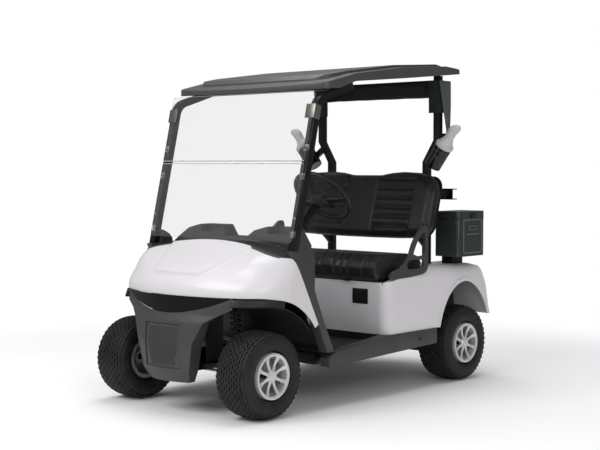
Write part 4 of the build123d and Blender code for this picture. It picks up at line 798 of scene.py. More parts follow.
@dataclass
class Cowl:
    """The moulded hood and front fenders as one smooth skin, with the strip behind its rear edge.

    A place on the skin is (s, z). s is 0 in the middle, 1 at the shoulder, 2 at the side and 3 at the
    back. Along an edge, t runs from 0 in the middle to 1 at the fender's tip.

    Attributes:
        sections: height, the front's middle y, the shoulder's y, the side's x and the side's y.
        shoulder: x of the shoulder.
        back_y: y where the side would end.
        bulge: how far the corner swells between the shoulder and the side, as shares in x and y.
        low_z: height of the lower edge.
        low_turn: t and s at which the lower edge turns into the arch.
        arch: y, z and radius of the wheel arch.
        arch_blend: where the blend into the arch starts and ends, in y from its middle.
        arch_ease: how the points crowd towards the tip along the arch.
        crown: height of the rear edge in the middle and at the side, and the x of that side.
        crown_fall: slope of the rear edge outside that x.
        top_turn: t and x at which the rear edge turns down.
        rear: y and z at the top and at the foot of the slanted rear edge.
        tip_z: height of the tip.
        tip_share: how much of t the skin runs over.
        thick: the wall.
        rim: radius on the wall's edges.
        panel: the raised panel's lowest z, its half width there and its height.
        panel_spread: how it widens upwards, and the weight of its sides against its lower edge.
        panel_edge: where its edge starts and ends to rise.
        columns: quads along half the skin.
        rows: quads from the lower to the upper edge.
        apron: the strip's section as offsets in y and z from the cowl's edge.
        apron_back: y of the strip's last line and its height above the edge.
        apron_share: how much of the edge the strip runs along.
        apron_steps: quads along half the strip.
        apron_thick: the strip's wall.
    """

    sections: tuple = ((0.400, -1.113, -1.026, 0.575, -0.800), (0.640, -1.113, -1.026, 0.575, -0.800),
                       (0.728, -1.065, -0.968, 0.574, -0.774), (0.800, -0.929, -0.905, 0.568, -0.734),
                       (0.890, -0.759, -0.728, 0.548, -0.695))
    shoulder: float = 0.400
    back_y: float = -0.480
    bulge: Pair = (0.62, 0.38)
    low_z: float = 0.618
    low_turn: Pair = (0.62, 1.25)
    arch: Point = (-0.920, 0.226, 0.385)
    arch_blend: Pair = (-0.04, 0.05)
    arch_ease: float = 1.5
    crown: Point = (0.883, 0.822, 0.500)
    crown_fall: float = 0.15
    top_turn: Pair = (0.72, 0.552)
    rear: tuple[Pair, Pair] = ((-0.768, 0.835), (-0.597, 0.497))
    tip_z: float = 0.440
    tip_share: float = 0.985
    thick: float = 0.0045
    rim: float = 0.0012
    panel: Point = (0.726, 0.172, 0.011)
    panel_spread: Pair = (0.95, 0.75)
    panel_edge: Pair = (-0.005, 0.004)
    columns: int = 120
    rows: int = 76
    apron: Outline = ((-0.001, -0.012), (-0.004, -0.001), (0.002, 0.0035), (0.014, 0.004), (0.026, -0.003),
                      (0.034, -0.006))
    apron_back: Pair = (-0.688, 0.012)
    apron_share: float = 0.93
    apron_steps: int = 30
    apron_thick: float = 0.003
    halvings: ClassVar[int] = 24     # steps of the search for a place on the skin

    def at(self, z: float) -> list[float]:
        """Gives the section at a height, by a smooth curve through the stated sections.

        Args:
            z: the height.

        Returns:
            The front's y, the shoulder's y, the side's x and the side's y.
        """
        keys = self.sections
        i = max(j for j in range(len(keys) - 1) if keys[j][0] <= z or j == 0)
        p0, p1, p2, p3 = (keys[max(0, min(len(keys) - 1, i + d))] for d in (-1, 0, 1, 2))
        h = p2[0] - p1[0]
        t = (z - p1[0]) / h
        out = []
        for k in range(1, 5):
            # the skin stands upright up to the second section
            start = (p2[k] - p0[k]) / (p2[0] - p0[0]) * h if i > 1 else 0.0
            end = (p3[k] - p1[k]) / (p3[0] - p1[0]) * h if i > 0 else 0.0
            out.append((2 * t**3 - 3 * t**2 + 1) * p1[k] + (t**3 - 2 * t**2 + t) * start
                       + (3 * t**2 - 2 * t**3) * p2[k] + (t**3 - t**2) * end)
        return out

    def point(self, s: float, z: float) -> Vector:
        """Gives a point of the skin's left half.

        Args:
            s: how far round the skin it lies.
            z: its height.

        Returns:
            The point.
        """
        front, bend, side_x, side_y = self.at(z)
        if s <= 1:
            dip = bend - front
            r = (self.shoulder**2 + dip**2) / (2 * dip)
            x = self.shoulder * s
            return Vector((x, front + r - math.sqrt(r * r - x * x), z))
        if s <= 2:
            t = s - 1
            start = Vector((self.shoulder, bend))
            end = Vector((side_x, side_y))
            middle = start + Vector(self.bulge) * (end - start)
            pull = 2 * middle - (start + end) / 2
            return (start * (1 - t)**2 + pull * 2 * t * (1 - t) + end * t * t).to_3d() + Vector((0, 0, z))
        return Vector((side_x, side_y + (s - 2) * (self.back_y - side_y), z))

    def solve(self, z: float, measure: Callable[[Vector], float], start: float, end: float) -> float:
        """Finds the place at which a rising measure of the skin crosses zero.

        Args:
            z: the height to search at.
            measure: the measure of a point.
            start: the lowest s.
            end: the highest s.

        Returns:
            The s found.
        """
        for _ in range(self.halvings):
            middle = (start + end) / 2
            if measure(self.point(middle, z)) < 0:
                start = middle
            else:
                end = middle
        return (start + end) / 2

    def crown_z(self, x: float) -> float:
        """Gives the height of the hood's rear edge.

        Args:
            x: the distance from the middle.

        Returns:
            The height.
        """
        top, side, half = self.crown
        drop = top - side
        r = (half**2 + drop**2) / (2 * drop)
        return top - r + math.sqrt(r * r - min(x, half)**2) - max(0.0, x - half) * self.crown_fall

    def top(self, t: float) -> Pair:
        """Runs along the upper edge and down the slanted rear edge.

        Args:
            t: how far along the edge.

        Returns:
            The place (s, z).
        """
        turn, turn_x = self.top_turn
        if t < turn:
            x = turn_x * t / turn
            z = self.crown_z(x)
            return self.solve(z, lambda p: p.x - x, 0.0, 2.0), z
        (y0, z0), (y1, z1) = self.rear
        start = self.crown_z(turn_x)
        z = start + (self.tip_z - start) * (t - turn) / (1 - turn)
        edge = y0 + (y1 - y0) * (z - z0) / (z1 - z0)
        return self.solve(z, lambda p: p.y - edge, 1.0, 3.0), z

    def bottom(self, t: float) -> Pair:
        """Runs along the lower edge and over the wheel arch.

        Args:
            t: how far along the edge.

        Returns:
            The place (s, z).
        """
        turn, turn_s = self.low_turn
        if t < turn:
            return t / turn * turn_s, self.low_z
        y_c, z_c, r = self.arch
        start = self.point(turn_s, self.low_z).y
        end = y_c + math.sqrt(r * r - (self.tip_z - z_c)**2)
        y = start + (end - start) * (1 - ((1 - t) / (1 - turn))**self.arch_ease)
        arc = z_c + math.sqrt(max(0.0, r * r - max(0.0, y - y_c)**2))
        lift = self.low_z - z_c - r
        z = arc + lift * (1 - step_up(y - y_c, *self.arch_blend))
        return self.solve(z, lambda p: p.y - y, 1.0, 3.0), z

    def skin(self) -> Rows:
        """Lists the rows of points over the left half.

        Returns:
            The rows from the lower to the upper edge.
        """
        shares = [self.tip_share * i / self.columns for i in range(self.columns + 1)]
        ends = [(Vector(self.bottom(t)), Vector(self.top(t))) for t in shares]
        return [[self.point(*low.lerp(high, j / self.rows)) for low, high in ends]
                for j in range(self.rows + 1)]

    def raised(self, p: Vector) -> float:
        """Gives the height of the hood's raised panel.

        Args:
            p: a point of the skin.

        Returns:
            How far the skin stands out there.
        """
        low, half, lift = self.panel
        spread, weight = self.panel_spread
        inside = min(p.z - low, (half + (p.z - low) * spread - abs(p.x)) * weight)
        return lift * step_up(inside, *self.panel_edge)

    def body(self) -> Object:
        """Builds the skin with its raised panel.

        Returns:
            The skin.
        """
        bm = bmesh.new()
        sheet_of(bm, self.skin())
        outwards(bm)
        bm.normal_update()
        if next(iter(bm.faces)).normal.y > 0:
            bmesh.ops.reverse_faces(bm, faces=bm.faces)
            bm.normal_update()
        for vert in bm.verts:
            vert.co += vert.normal * self.raised(vert.co)
        mirror_x(bm, WELD)
        skin = to_object(bm, "moulded_cowl", 40)
        modifier(skin, "wall", "SOLIDIFY", thickness=self.thick, offset=-1.0)
        modifier(skin, "rim", "BEVEL", limit_method="ANGLE", angle_limit=math.radians(60), width=self.rim,
                 segments=2)
        return fit(skin, "body_enamel", "chassis", "body_white", "cowl")

    def strip(self) -> Object:
        """Builds the strip between the cowl's rear edge and the dash.

        Returns:
            The strip.
        """
        reach = self.top_turn[0] * self.apron_share
        edge = [self.point(*self.top(reach * i / self.apron_steps)) for i in range(self.apron_steps + 1)]
        edge = [Vector((-p.x, p.y, p.z)) for p in reversed(edge[1:])] + edge
        rows = [[p + Vector((0, dy, dz)) for p in edge] for dy, dz in self.apron]
        back_y, rise = self.apron_back
        rows.append([Vector((p.x, back_y, p.z + rise)) for p in edge])
        bm = bmesh.new()
        sheet_of(bm, rows)
        outwards(bm)
        strip = to_object(bm, "dash_apron", 50)
        modifier(strip, "wall", "SOLIDIFY", thickness=self.apron_thick, offset=0.0)
        return fit(strip, "charcoal_moulded", "chassis", "charcoal_plastic")

    def build(self) -> None:
        """Builds the skin and the strip behind it."""
        self.body()
        self.strip()


@dataclass
class Grille:
    """The lower panel with rows of small hexagonal dimples.

    Attributes:
        pitch: from one hexagon to the next.
        half_w: half width of the laid hexagons.
        z_range: their lowest and highest rows.
        field_half: half width of the dimpled field.
        field_z: its lowest and highest z.
        taper_z: the height under which it narrows.
        taper: how fast it narrows.
        inset: the rim left round a dimple.
        depth: a dimple's depth.
        ahead_y: a y in front of the panel.
        spare_y: the y of points beside the panel.
    """

    pitch: float = 0.0145
    half_w: float = 0.137
    z_range: Pair = (0.238, 0.480)
    field_half: float = 0.112
    field_z: Pair = (0.262, 0.452)
    taper_z: float = 0.36
    taper: float = 0.25
    inset: float = 0.0042
    depth: float = 0.006
    ahead_y: float = -1.5
    spare_y: float = -1.13

    def centres(self) -> list[Pair]:
        """Lists the hexagons' middles in staggered rows.

        Returns:
            Their x and z.
        """
        found = []
        row = 0
        z = self.z_range[0]
        while z < self.z_range[1]:
            x = -self.half_w + (self.pitch / 2 if row % 2 else 0.0)
            while x < self.half_w:
                found.append((x, z))
                x += self.pitch
            z += self.pitch * math.sqrt(3) / 2
            row += 1
        return found

    def dimpled(self, x: float, z: float) -> bool:
        """Tells whether a hexagon lies in the dimpled field.

        Args:
            x: its middle's x.
            z: its middle's z.

        Returns:
            True inside the field.
        """
        half = self.field_half - max(0.0, self.taper_z - z) * self.taper
        return abs(x) < half and self.field_z[0] < z < self.field_z[1]

    def build(self) -> Object:
        """Builds the panel from hexagons laid on the CAD panel's front.

        Returns:
            The panel.
        """
        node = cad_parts["grille_panel"]
        tree = BVHTree.FromPolygons([node.matrix_world @ v.co for v in node.data.vertices],
                                    [p.vertices for p in node.data.polygons])

        def front(x: float, z: float) -> Vector:
            """Gives the panel's front face at (x, z)."""
            hit = tree.ray_cast(Vector((x, self.ahead_y, z)), Vector((0, 1, 0)))[0]
            return hit if hit is not None else Vector((x, self.spare_y, z))

        bm = bmesh.new()
        corner = self.pitch / math.sqrt(3)
        corners = [(corner * math.sin(k * math.pi / 3), corner * math.cos(k * math.pi / 3)) for k in range(6)]
        sunk = []
        for x, z in self.centres():
            face = bm.faces.new([bm.verts.new(front(x + dx, z + dz)) for dx, dz in corners])
            if self.dimpled(x, z):
                sunk.append(face)
        bmesh.ops.remove_doubles(bm, verts=bm.verts, dist=1e-4)
        bm.normal_update()
        outwards(bm)
        sunk = [face for face in sunk if face.is_valid]
        bmesh.ops.inset_individual(bm, faces=sunk, thickness=self.inset, depth=0.0)
        for vert in (vert for face in sunk for vert in face.verts):
            vert.co.y += self.depth
        piece = to_object(bm, "dimpled_grille", 30)
        return fit(piece, "charcoal_moulded", "chassis", "black_plastic", "grille_panel")


@dataclass
class CoilSprings:
    """Two wound springs round the front dampers.

    Attributes:
        wire: the wire's radius.
        turns: windings from end to end.
        steps: straight pieces in a winding.
        crowding: how the windings draw together towards the middle.
    """

    wire: float = 0.0052
    turns: float = 6.5
    steps: int = 15
    crowding: float = 0.03

    def build(self) -> Object:
        """Builds both springs inside the CAD cylinders.

        Returns:
            The springs as one piece.
        """
        low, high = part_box("coil_springs")
        reach = (high.y - low.y) / 2
        r = reach - self.wire
        axis = Vector((high.x - reach, (low.y + high.y) / 2, low.z + self.wire))
        rise = high.z - low.z - 2 * self.wire
        count = int(self.turns * self.steps)
        path = []
        for t in (i / count for i in range(count + 1)):
            turn = math.tau * self.turns * t
            lift = rise * (t + self.crowding * math.sin(math.tau * t))
            path.append(axis + Vector((r * math.cos(turn), r * math.sin(turn), lift)))
        bm = bmesh.new()
        loft(bm, tube_rings(path, [self.wire] * len(path), 8))
        mirror_x(bm)
        piece = to_object(bm, "wound_springs", 60)
        return fit(piece, "powder_coat", "chassis", "black_steel", "coil_springs")


# ---- cabin -------------------------------------------------------------------------------


@dataclass
class SteeringWheel:
    """A grooved rim, three dished spokes, a padded hub and a card plate.

    The wheel is made flat, with z along its column, and then put in its place.

    Attributes:
        centre: the rim's middle.
        axis: the column's direction.
        rim_r: the rim's radius.
        grip: the grip's radius.
        groove: depth of the finger grooves as a share of it.
        grooves: their number.
        rim_steps: segments round the rim.
        grip_sides: segments round the grip.
        spoke_turns: the spokes' directions in degrees.
        spoke: reach, half width, half thickness and lift along a spoke.
        spoke_rim: a spoke's section as shares of half width and half thickness.
        hub: reach and lift down the hub.
        hub_shape: the hub's stretch in x and y, and its corners' fullness.
        card: the card plate's boxes, as low corner, high corner and edge radius.
        card_place: the plate's middle.
        collar: lower and upper radius, length and lift of the collar on the column.
    """

    centre: Point = (0.280, -0.206, 1.123)
    axis: Point = (0.0, 0.731, 0.682)
    rim_r: float = 0.168
    grip: float = 0.0140
    groove: float = 0.10
    grooves: int = 32
    rim_steps: int = 160
    grip_sides: int = 14
    spoke_turns: tuple[float, ...] = (8, 172, -90)
    spoke: tuple = ((0.030, 0.026, 0.010, -0.030), (0.060, 0.025, 0.009, -0.030),
                    (0.100, 0.019, 0.0075, -0.020), (0.140, 0.016, 0.0065, -0.007),
                    (0.166, 0.019, 0.0070, 0.0))
    spoke_rim: Outline = ((-1, -0.4), (-0.8, -1), (0.8, -1), (1, -0.4), (1, 0.4), (0.8, 1), (-0.8, 1),
                          (-1, 0.4))
    hub: Outline = ((0.026, -0.058), (0.034, -0.056), (0.040, -0.046), (0.058, -0.034), (0.060, -0.022),
                    (0.052, -0.014), (0.030, -0.0115), (0.004, -0.011))
    hub_shape: Point = (1.12, 0.92, 0.7)
    card: tuple = (((-0.058, -0.030, -0.010), (0.058, 0.030, 0.004), 0.006),
                   ((-0.050, 0.012, 0.002), (0.050, 0.022, 0.010), 0.003))
    card_place: Point = (0.0, 0.052, -0.004)
    collar: tuple[float, float, float, float] = (0.030, 0.034, 0.030, -0.070)

    def rim(self, bm: Mesh) -> None:
        """Adds the rim with its finger grooves.

        Args:
            bm: the mesh that takes it.
        """
        rows = []
        for angle in (math.tau * i / self.rim_steps for i in range(self.rim_steps + 1)):
            heading = Vector((math.cos(angle), math.sin(angle), 0))
            depth = self.groove * (0.5 + 0.5 * math.cos(self.grooves * angle))
            ring = []
            for turn in (math.tau * k / self.grip_sides for k in range(self.grip_sides + 1)):
                r = self.grip * (1 - depth * max(0.0, math.cos(turn)))
                ring.append(heading * (self.rim_r - r * math.cos(turn)) + Vector((0, 0, r * math.sin(turn))))
            rows.append(ring)
        sheet_of(bm, rows)

    def spokes(self, bm: Mesh) -> None:
        """Adds the spokes.

        Args:
            bm: the mesh that takes them.
        """
        for angle in map(math.radians, self.spoke_turns):
            turn = Matrix.Rotation(angle, 3, "Z")
            loft(bm, [[turn @ Vector((reach, half * a, lift + thick * b)) for a, b in self.spoke_rim]
                      for reach, half, thick, lift in self.spoke])

    def middle(self, bm: Mesh) -> None:
        """Adds the hub, the card plate and the collar.

        Args:
            bm: the mesh that takes them.
        """
        wide, high, full = self.hub_shape
        around = []
        for t in (math.tau * k / 32 for k in range(32)):
            x = math.copysign(abs(math.cos(t)) ** full, math.cos(t))
            y = math.copysign(abs(math.sin(t)) ** full, math.sin(t))
            around.append(Vector((x * wide, y * high, 0)))
        loft(bm, [[p * reach + Vector((0, 0, lift)) for p in around] for reach, lift in self.hub])
        for low, high, round_m in self.card:
            block(bm, low, high, round_m, Matrix.Translation(self.card_place))
        lower, upper, length, lift = self.collar
        cone(bm, lower, upper, length, 40, Matrix.Translation((0, 0, lift)))

    def build(self) -> Object:
        """Builds the wheel and puts it on its column.

        Returns:
            The wheel as one piece.
        """
        bm = bmesh.new()
        self.rim(bm)
        self.spokes(bm)
        self.middle(bm)
        out = Vector(self.axis).normalized()
        right = Vector((1, 0, 0))
        turn = Matrix((right, out.cross(right), out)).transposed().to_4x4()
        bmesh.ops.transform(bm, matrix=Matrix.Translation(self.centre) @ turn, verts=bm.verts)
        bmesh.ops.remove_doubles(bm, verts=bm.verts, dist=WELD)
        outwards(bm)
        piece = to_object(bm, "grip_wheel", 45)
        return fit(piece, "black_moulded", "steering", "black_plastic", "steering_wheel")


@dataclass
class HipRestraints:
    """A looped grab rail at each end of the bench: a swept arm, an upright leg and a cross bar.

    Attributes:
        x_range: the left loop's inner and outer faces.
        outer: (y, z) round the loop; a smooth curve runs through the points.
        windows: the same round its two openings.
        steps: pieces of curve between two points.
        rim: radius on the loop's edges.
    """

    x_range: Pair = (0.5545, 0.5745)
    outer: Outline = ((0.045, 0.652), (0.054, 0.690), (0.135, 0.715), (0.204, 0.768), (0.251, 0.851),
                      (0.318, 0.925), (0.362, 0.943), (0.388, 0.930), (0.394, 0.870), (0.396, 0.800),
                      (0.394, 0.730), (0.388, 0.695), (0.352, 0.668), (0.240, 0.656), (0.140, 0.652))
    windows: tuple[Outline, Outline] = (
        ((0.360, 0.900), (0.330, 0.895), (0.288, 0.850), (0.258, 0.800), (0.254, 0.780), (0.270, 0.772),
         (0.345, 0.772), (0.364, 0.785), (0.368, 0.840)),
        ((0.193, 0.738), (0.228, 0.752), (0.300, 0.752), (0.345, 0.748), (0.355, 0.728), (0.330, 0.706),
         (0.250, 0.700), (0.200, 0.706)))
    steps: int = 5
    rim: float = 0.004

    def curve(self, points: Outline) -> list[Vector]:
        """Runs a closed curve through points on the loop's inner face.

        Args:
            points: their y and z.

        Returns:
            The curve's points.
        """
        out = []
        count = len(points)
        for i in range(count):
            p0, p1, p2, p3 = (Vector(points[(i + d) % count]) for d in (-1, 0, 1, 2))
            for t in (k / self.steps for k in range(self.steps)):
                y, z = 0.5 * (2 * p1 + (p2 - p0) * t + (2 * p0 - 5 * p1 + 4 * p2 - p3) * t * t
                              + (3 * p1 - p0 - 3 * p2 + p3) * t ** 3)
                out.append(Vector((self.x_range[0], y, z)))
        return out

    def build(self) -> Object:
        """Builds both loops with rounded rims.

        Returns:
            The loops as one piece.
        """
        bm = bmesh.new()
        edges = [edge for outline in (self.outer, *self.windows) for edge in loop_of(bm, self.curve(outline))]
        plate = bmesh.ops.triangle_fill(bm, use_beauty=True, use_dissolve=True, edges=edges, normal=(1, 0, 0))
        extrude(bm, [f for f in plate["geom"] if isinstance(f, Face)],
                Vector((self.x_range[1] - self.x_range[0], 0, 0)), keep=True)
        mirror_x(bm)
        piece = to_object(bm, "looped_restraints", 40)
        modifier(piece, "rims", "BEVEL", limit_method="ANGLE", angle_limit=math.radians(50), width=self.rim,
                 segments=3)
        return fit(piece, "charcoal_moulded", "chassis", "black_plastic", "hip_restraints")


@dataclass
class Fittings:
    """Small parts fixed to the cart: screws, the fold strip, the cooler's trim and latch, the side plugs.

    Attributes:
        strut_x: x of the windscreen's struts.
        lean: their lean, in y over z.
        foot: y and z of a point on their middle line.
        pane_front: from that line to the windscreen's front face.
        screw_z: heights of the screws.
        screw: radius, distance off the pane and thickness of the washer and of the screw's head.
        screw_taper: a head's upper radius as a share of its lower one.
        strip_z: heights of the fold strip's two edges.
        strip_half: half of each edge's length, thickness and height.
        strip_off: from the pane to the strip's middle.
        strip_round: radius on the strip's edges.
        frame_inset: the cooler's frame inside its side: in y, from the floor and from the top.
        frame_bar: the frame's width.
        ledge: the grip's inset in y, its lower and its upper z.
        recess: the same of the panel above it.
        recess_bar: the width of the bars round that panel.
        trim_depth: how far the trim goes into the side and stands out of it.
        trim_round: radius on the trim's edges.
        latch_half: half of the latch's width.
        latch_inset: how far it keeps from the lid's lower and upper edges.
        latch_depth: how far it goes into the lid and stands out of it.
        latch_round: radius on its edges.
        plug: y and z of the rockers' plugs.
        plug_size: a plug's radius, thickness and distance off the rocker.
    """

    strut_x: float = 0.537
    lean: float = 0.2385
    foot: Pair = (-0.735, 0.850)
    pane_front: float = 0.029
    screw_z: Point = (1.010, 1.230, 1.380)
    screw: tuple[Point, Point] = ((0.011, 0.0008, 0.002), (0.0065, 0.003, 0.0035))
    screw_taper: float = 0.9
    strip_z: Pair = (1.2955, 1.3105)
    strip_half: Point = (0.541, 0.0012, 0.0022)
    strip_off: float = 0.0012
    strip_round: float = 0.0006
    frame_inset: Point = (0.040, 0.018, 0.012)
    frame_bar: float = 0.007
    ledge: Point = (0.030, 0.878, 0.884)
    recess: Point = (0.055, 0.905, 0.931)
    recess_bar: float = 0.004
    trim_depth: Pair = (0.002, 0.0035)
    trim_round: float = 0.0012
    latch_half: float = 0.024
    latch_inset: Pair = (0.006, 0.008)
    latch_depth: Pair = (0.001, 0.007)
    latch_round: float = 0.003
    plug: Pair = (0.300, 0.297)
    plug_size: Point = (0.011, 0.003, 0.0005)

    def on_pane(self, x: float, z: float, off: float, turn: float) -> Matrix:
        """Gives a place on the windscreen.

        Args:
            x: its x.
            z: its height on the struts' middle line.
            off: its distance off the pane.
            turn: how far a piece there is turned about x.

        Returns:
            The placement.
        """
        tilt = math.atan(self.lean)
        ahead = Vector((0, -math.cos(tilt), math.sin(tilt))) * (self.pane_front + off)
        point = Vector((x, self.foot[0] + self.lean * (z - self.foot[1]), z))
        return Matrix.Translation(point + ahead) @ Matrix.Rotation(turn, 4, "X")

    def screws(self) -> None:
        """Builds the washers and screws on the windscreen's edges."""
        bm = bmesh.new()
        upright = math.pi / 2 + math.atan(self.lean)
        for x in (-self.strut_x, self.strut_x):
            for z in self.screw_z:
                for r, off, high in self.screw:
                    cone(bm, r, r * self.screw_taper, high, 24, self.on_pane(x, z, off, upright))
        fit(to_object(bm, "pane_screws", 40), "stainless", "chassis", "bright_steel")

    def fold_strip(self) -> None:
        """Builds the hinge strip between the two panes."""
        bm = bmesh.new()
        half = Vector(self.strip_half)
        lean = math.atan(self.lean)
        for z in self.strip_z:
            block(bm, -half, half, self.strip_round, self.on_pane(0, z, self.strip_off, -lean))
        fit(to_object(bm, "fold_strip", 40), "frosted_strip", "chassis", "clear_acrylic")

    def cooler_trim(self) -> None:
        """Builds the frame, the grip and the bars of the panel on the cooler's outer side."""
        low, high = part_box("cooler_box")
        side, under, over = self.frame_inset
        y0, y1 = low.y + side, high.y - side

        def frame_bars(inset: float, z0: float, z1: float, bar: float) -> list[tuple[Pair, Pair]]:
            """Lists the lower, upper, front and rear bars of a frame."""
            a, b = y0 + inset, y1 - inset
            return [((a, z0), (b, z0 + bar)), ((a, z1 - bar), (b, z1)), ((a, z0), (a + bar, z1)),
                    ((b - bar, z0), (b, z1))]

        bars = frame_bars(0.0, low.z + under, high.z - over, self.frame_bar)
        bars.append(((y0 + self.ledge[0], self.ledge[1]), (y1 - self.ledge[0], self.ledge[2])))
        bars += frame_bars(*self.recess, self.recess_bar)
        bm = bmesh.new()
        sunk, proud = self.trim_depth
        for start, end in bars:
            block(bm, (high.x - sunk, *start), (high.x + proud, *end), self.trim_round)
        # the trim's paler colour is a painted highlight along the cooler's frame
        fit(to_object(bm, "cooler_trim", 40), "cooler_edge_highlight_paint", "chassis", "cooler_plastic")

    def latch(self) -> None:
        """Builds the latch that rides on the cooler's lid."""
        low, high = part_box("cooler_lid")
        middle = (low.y + high.y) / 2
        bm = bmesh.new()
        block(bm, (high.x - self.latch_depth[0], middle - self.latch_half, low.z + self.latch_inset[0]),
              (high.x + self.latch_depth[1], middle + self.latch_half, high.z - self.latch_inset[1]),
              self.latch_round)
        fit(to_object(bm, "lid_latch", 40), "black_moulded", "lid", "cooler_plastic")

    def plugs(self) -> None:
        """Builds the round plugs in the rockers."""
        bm = bmesh.new()
        radius, thick, off = self.plug_size
        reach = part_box("rockers")[1].x + off
        for x in (-reach, reach):
            place = Matrix.Translation((x, *self.plug)) @ Matrix.Rotation(math.pi / 2, 4, "Y")
            cone(bm, radius, radius, thick, 28, place)
        fit(to_object(bm, "rocker_plugs", 40), "black_moulded", "chassis", "black_plastic")

    def build(self) -> None:
        """Builds every fitting."""
        self.screws()
        self.fold_strip()
        self.cooler_trim()
        self.latch()
        self.plugs()


# ---- upholstery ------------------------------------------------------------------------


@dataclass
class Seam:
    """A pressed line on a pad.

    Attributes:
        distance: gives a point's distance from the line, in metres.
        depth: how deep the line sinks.
        width: how wide the dent is.
        ridge: height of the piping beside the line.
    """

    distance: Callable[[Vector], float]
    depth: float
    width: float
    ridge: float = 0.0
    reach: ClassVar[float] = 5.0            # how far the seam is felt, in widths
    piping: ClassVar[Pair] = (1.8, 0.6)     # the piping's distance and width, in widths

    def push(self, p: Vector) -> float:
        """Gives how far the seam lifts the surface.

        Args:
            p: a point of the pad.

        Returns:
            The lift along the normal, below zero in the dent.
        """
        away = self.distance(p) / self.width
        if away >= self.reach:
            return 0.0
        beside, wide = self.piping
        return self.ridge * math.exp(-((away - beside) / wide) ** 2) - self.depth * math.exp(-away ** 2)


@dataclass
class Pad:
    """A padded piece swollen by a cloth simulation and then stitched.

    Attributes:
        name: the piece's name.
        node: the CAD node that it stands for.
        body: the CAD body that it rides on.
        start: the pad before it is stuffed.
        seams: its seams.
        voxel: size of the simulated cells.
        cap: how far the stuffing may swell the pad.
        pressure: the stuffing's push.
        last_frame: the simulation's length.
        quality: its steps in a frame.
        relax: rounds of smoothing after it.
        fill: not used.
    """

    name: str
    node: str
    body: str
    start: Mesh
    seams: list[Seam]
    voxel: float = 0.0078
    cap: float = 0.009
    pressure: float = 3.5
    last_frame: int = 16
    quality: int = 4
    relax: int = 14
    fill: float = 0.8

    def inflate(self, piece: Object) -> None:
        """Swells the pad outwards, holding each point within the cap.

        Args:
            piece: the pad's remeshed object.
        """
        cloth = modifier(piece, "stuffing", "CLOTH")
        cloth.settings.use_pressure = True
        cloth.settings.uniform_pressure_force = self.pressure
        cloth.settings.quality = self.quality
        cloth.settings.effector_weights.gravity = 0.0
        cloth.collision_settings.use_self_collision = False
        cloth.point_cache.frame_start = 1
        cloth.point_cache.frame_end = self.last_frame
        scene = bpy.context.scene
        for step in range(1, self.last_frame + 1):
            scene.frame_set(step)
        swollen = piece.evaluated_get(bpy.context.evaluated_depsgraph_get()).data
        moved = [v.co.copy() for v in swollen.vertices]
        piece.modifiers.clear()
        verts = piece.data.vertices
        normals = [v.normal.copy() for v in verts]
        for vert, after, normal in zip(verts, moved, normals):
            vert.co += normal * min(self.cap, max(0.0, (after - vert.co).dot(normal)))
        scene.frame_set(1)

    def stitch(self, piece: Object) -> None:
        """Presses the seams and raises the piping.

        Args:
            piece: the swollen pad.
        """
        verts = piece.data.vertices
        normals = [v.normal.copy() for v in verts]
        for vert, normal in zip(verts, normals):
            vert.co += normal * sum(seam.push(vert.co) for seam in self.seams)

    def build(self) -> Object:
        """Builds the pad.

        Returns:
            The dressed pad.
        """
        piece = to_object(self.start, self.name)
        modifier(piece, "cells", "REMESH", mode="VOXEL", voxel_size=self.voxel, use_smooth_shade=True)
        bake(piece)
        self.inflate(piece)
        modifier(piece, "finer", "SUBSURF", levels=1, render_levels=1)
        bake(piece)
        modifier(piece, "relax", "SMOOTH", factor=0.5, iterations=self.relax)
        bake(piece)
        self.stitch(piece)
        for face in piece.data.polygons:
            face.use_smooth = True
        fit(piece, "vinyl", self.body, "vinyl", self.node)
        return piece


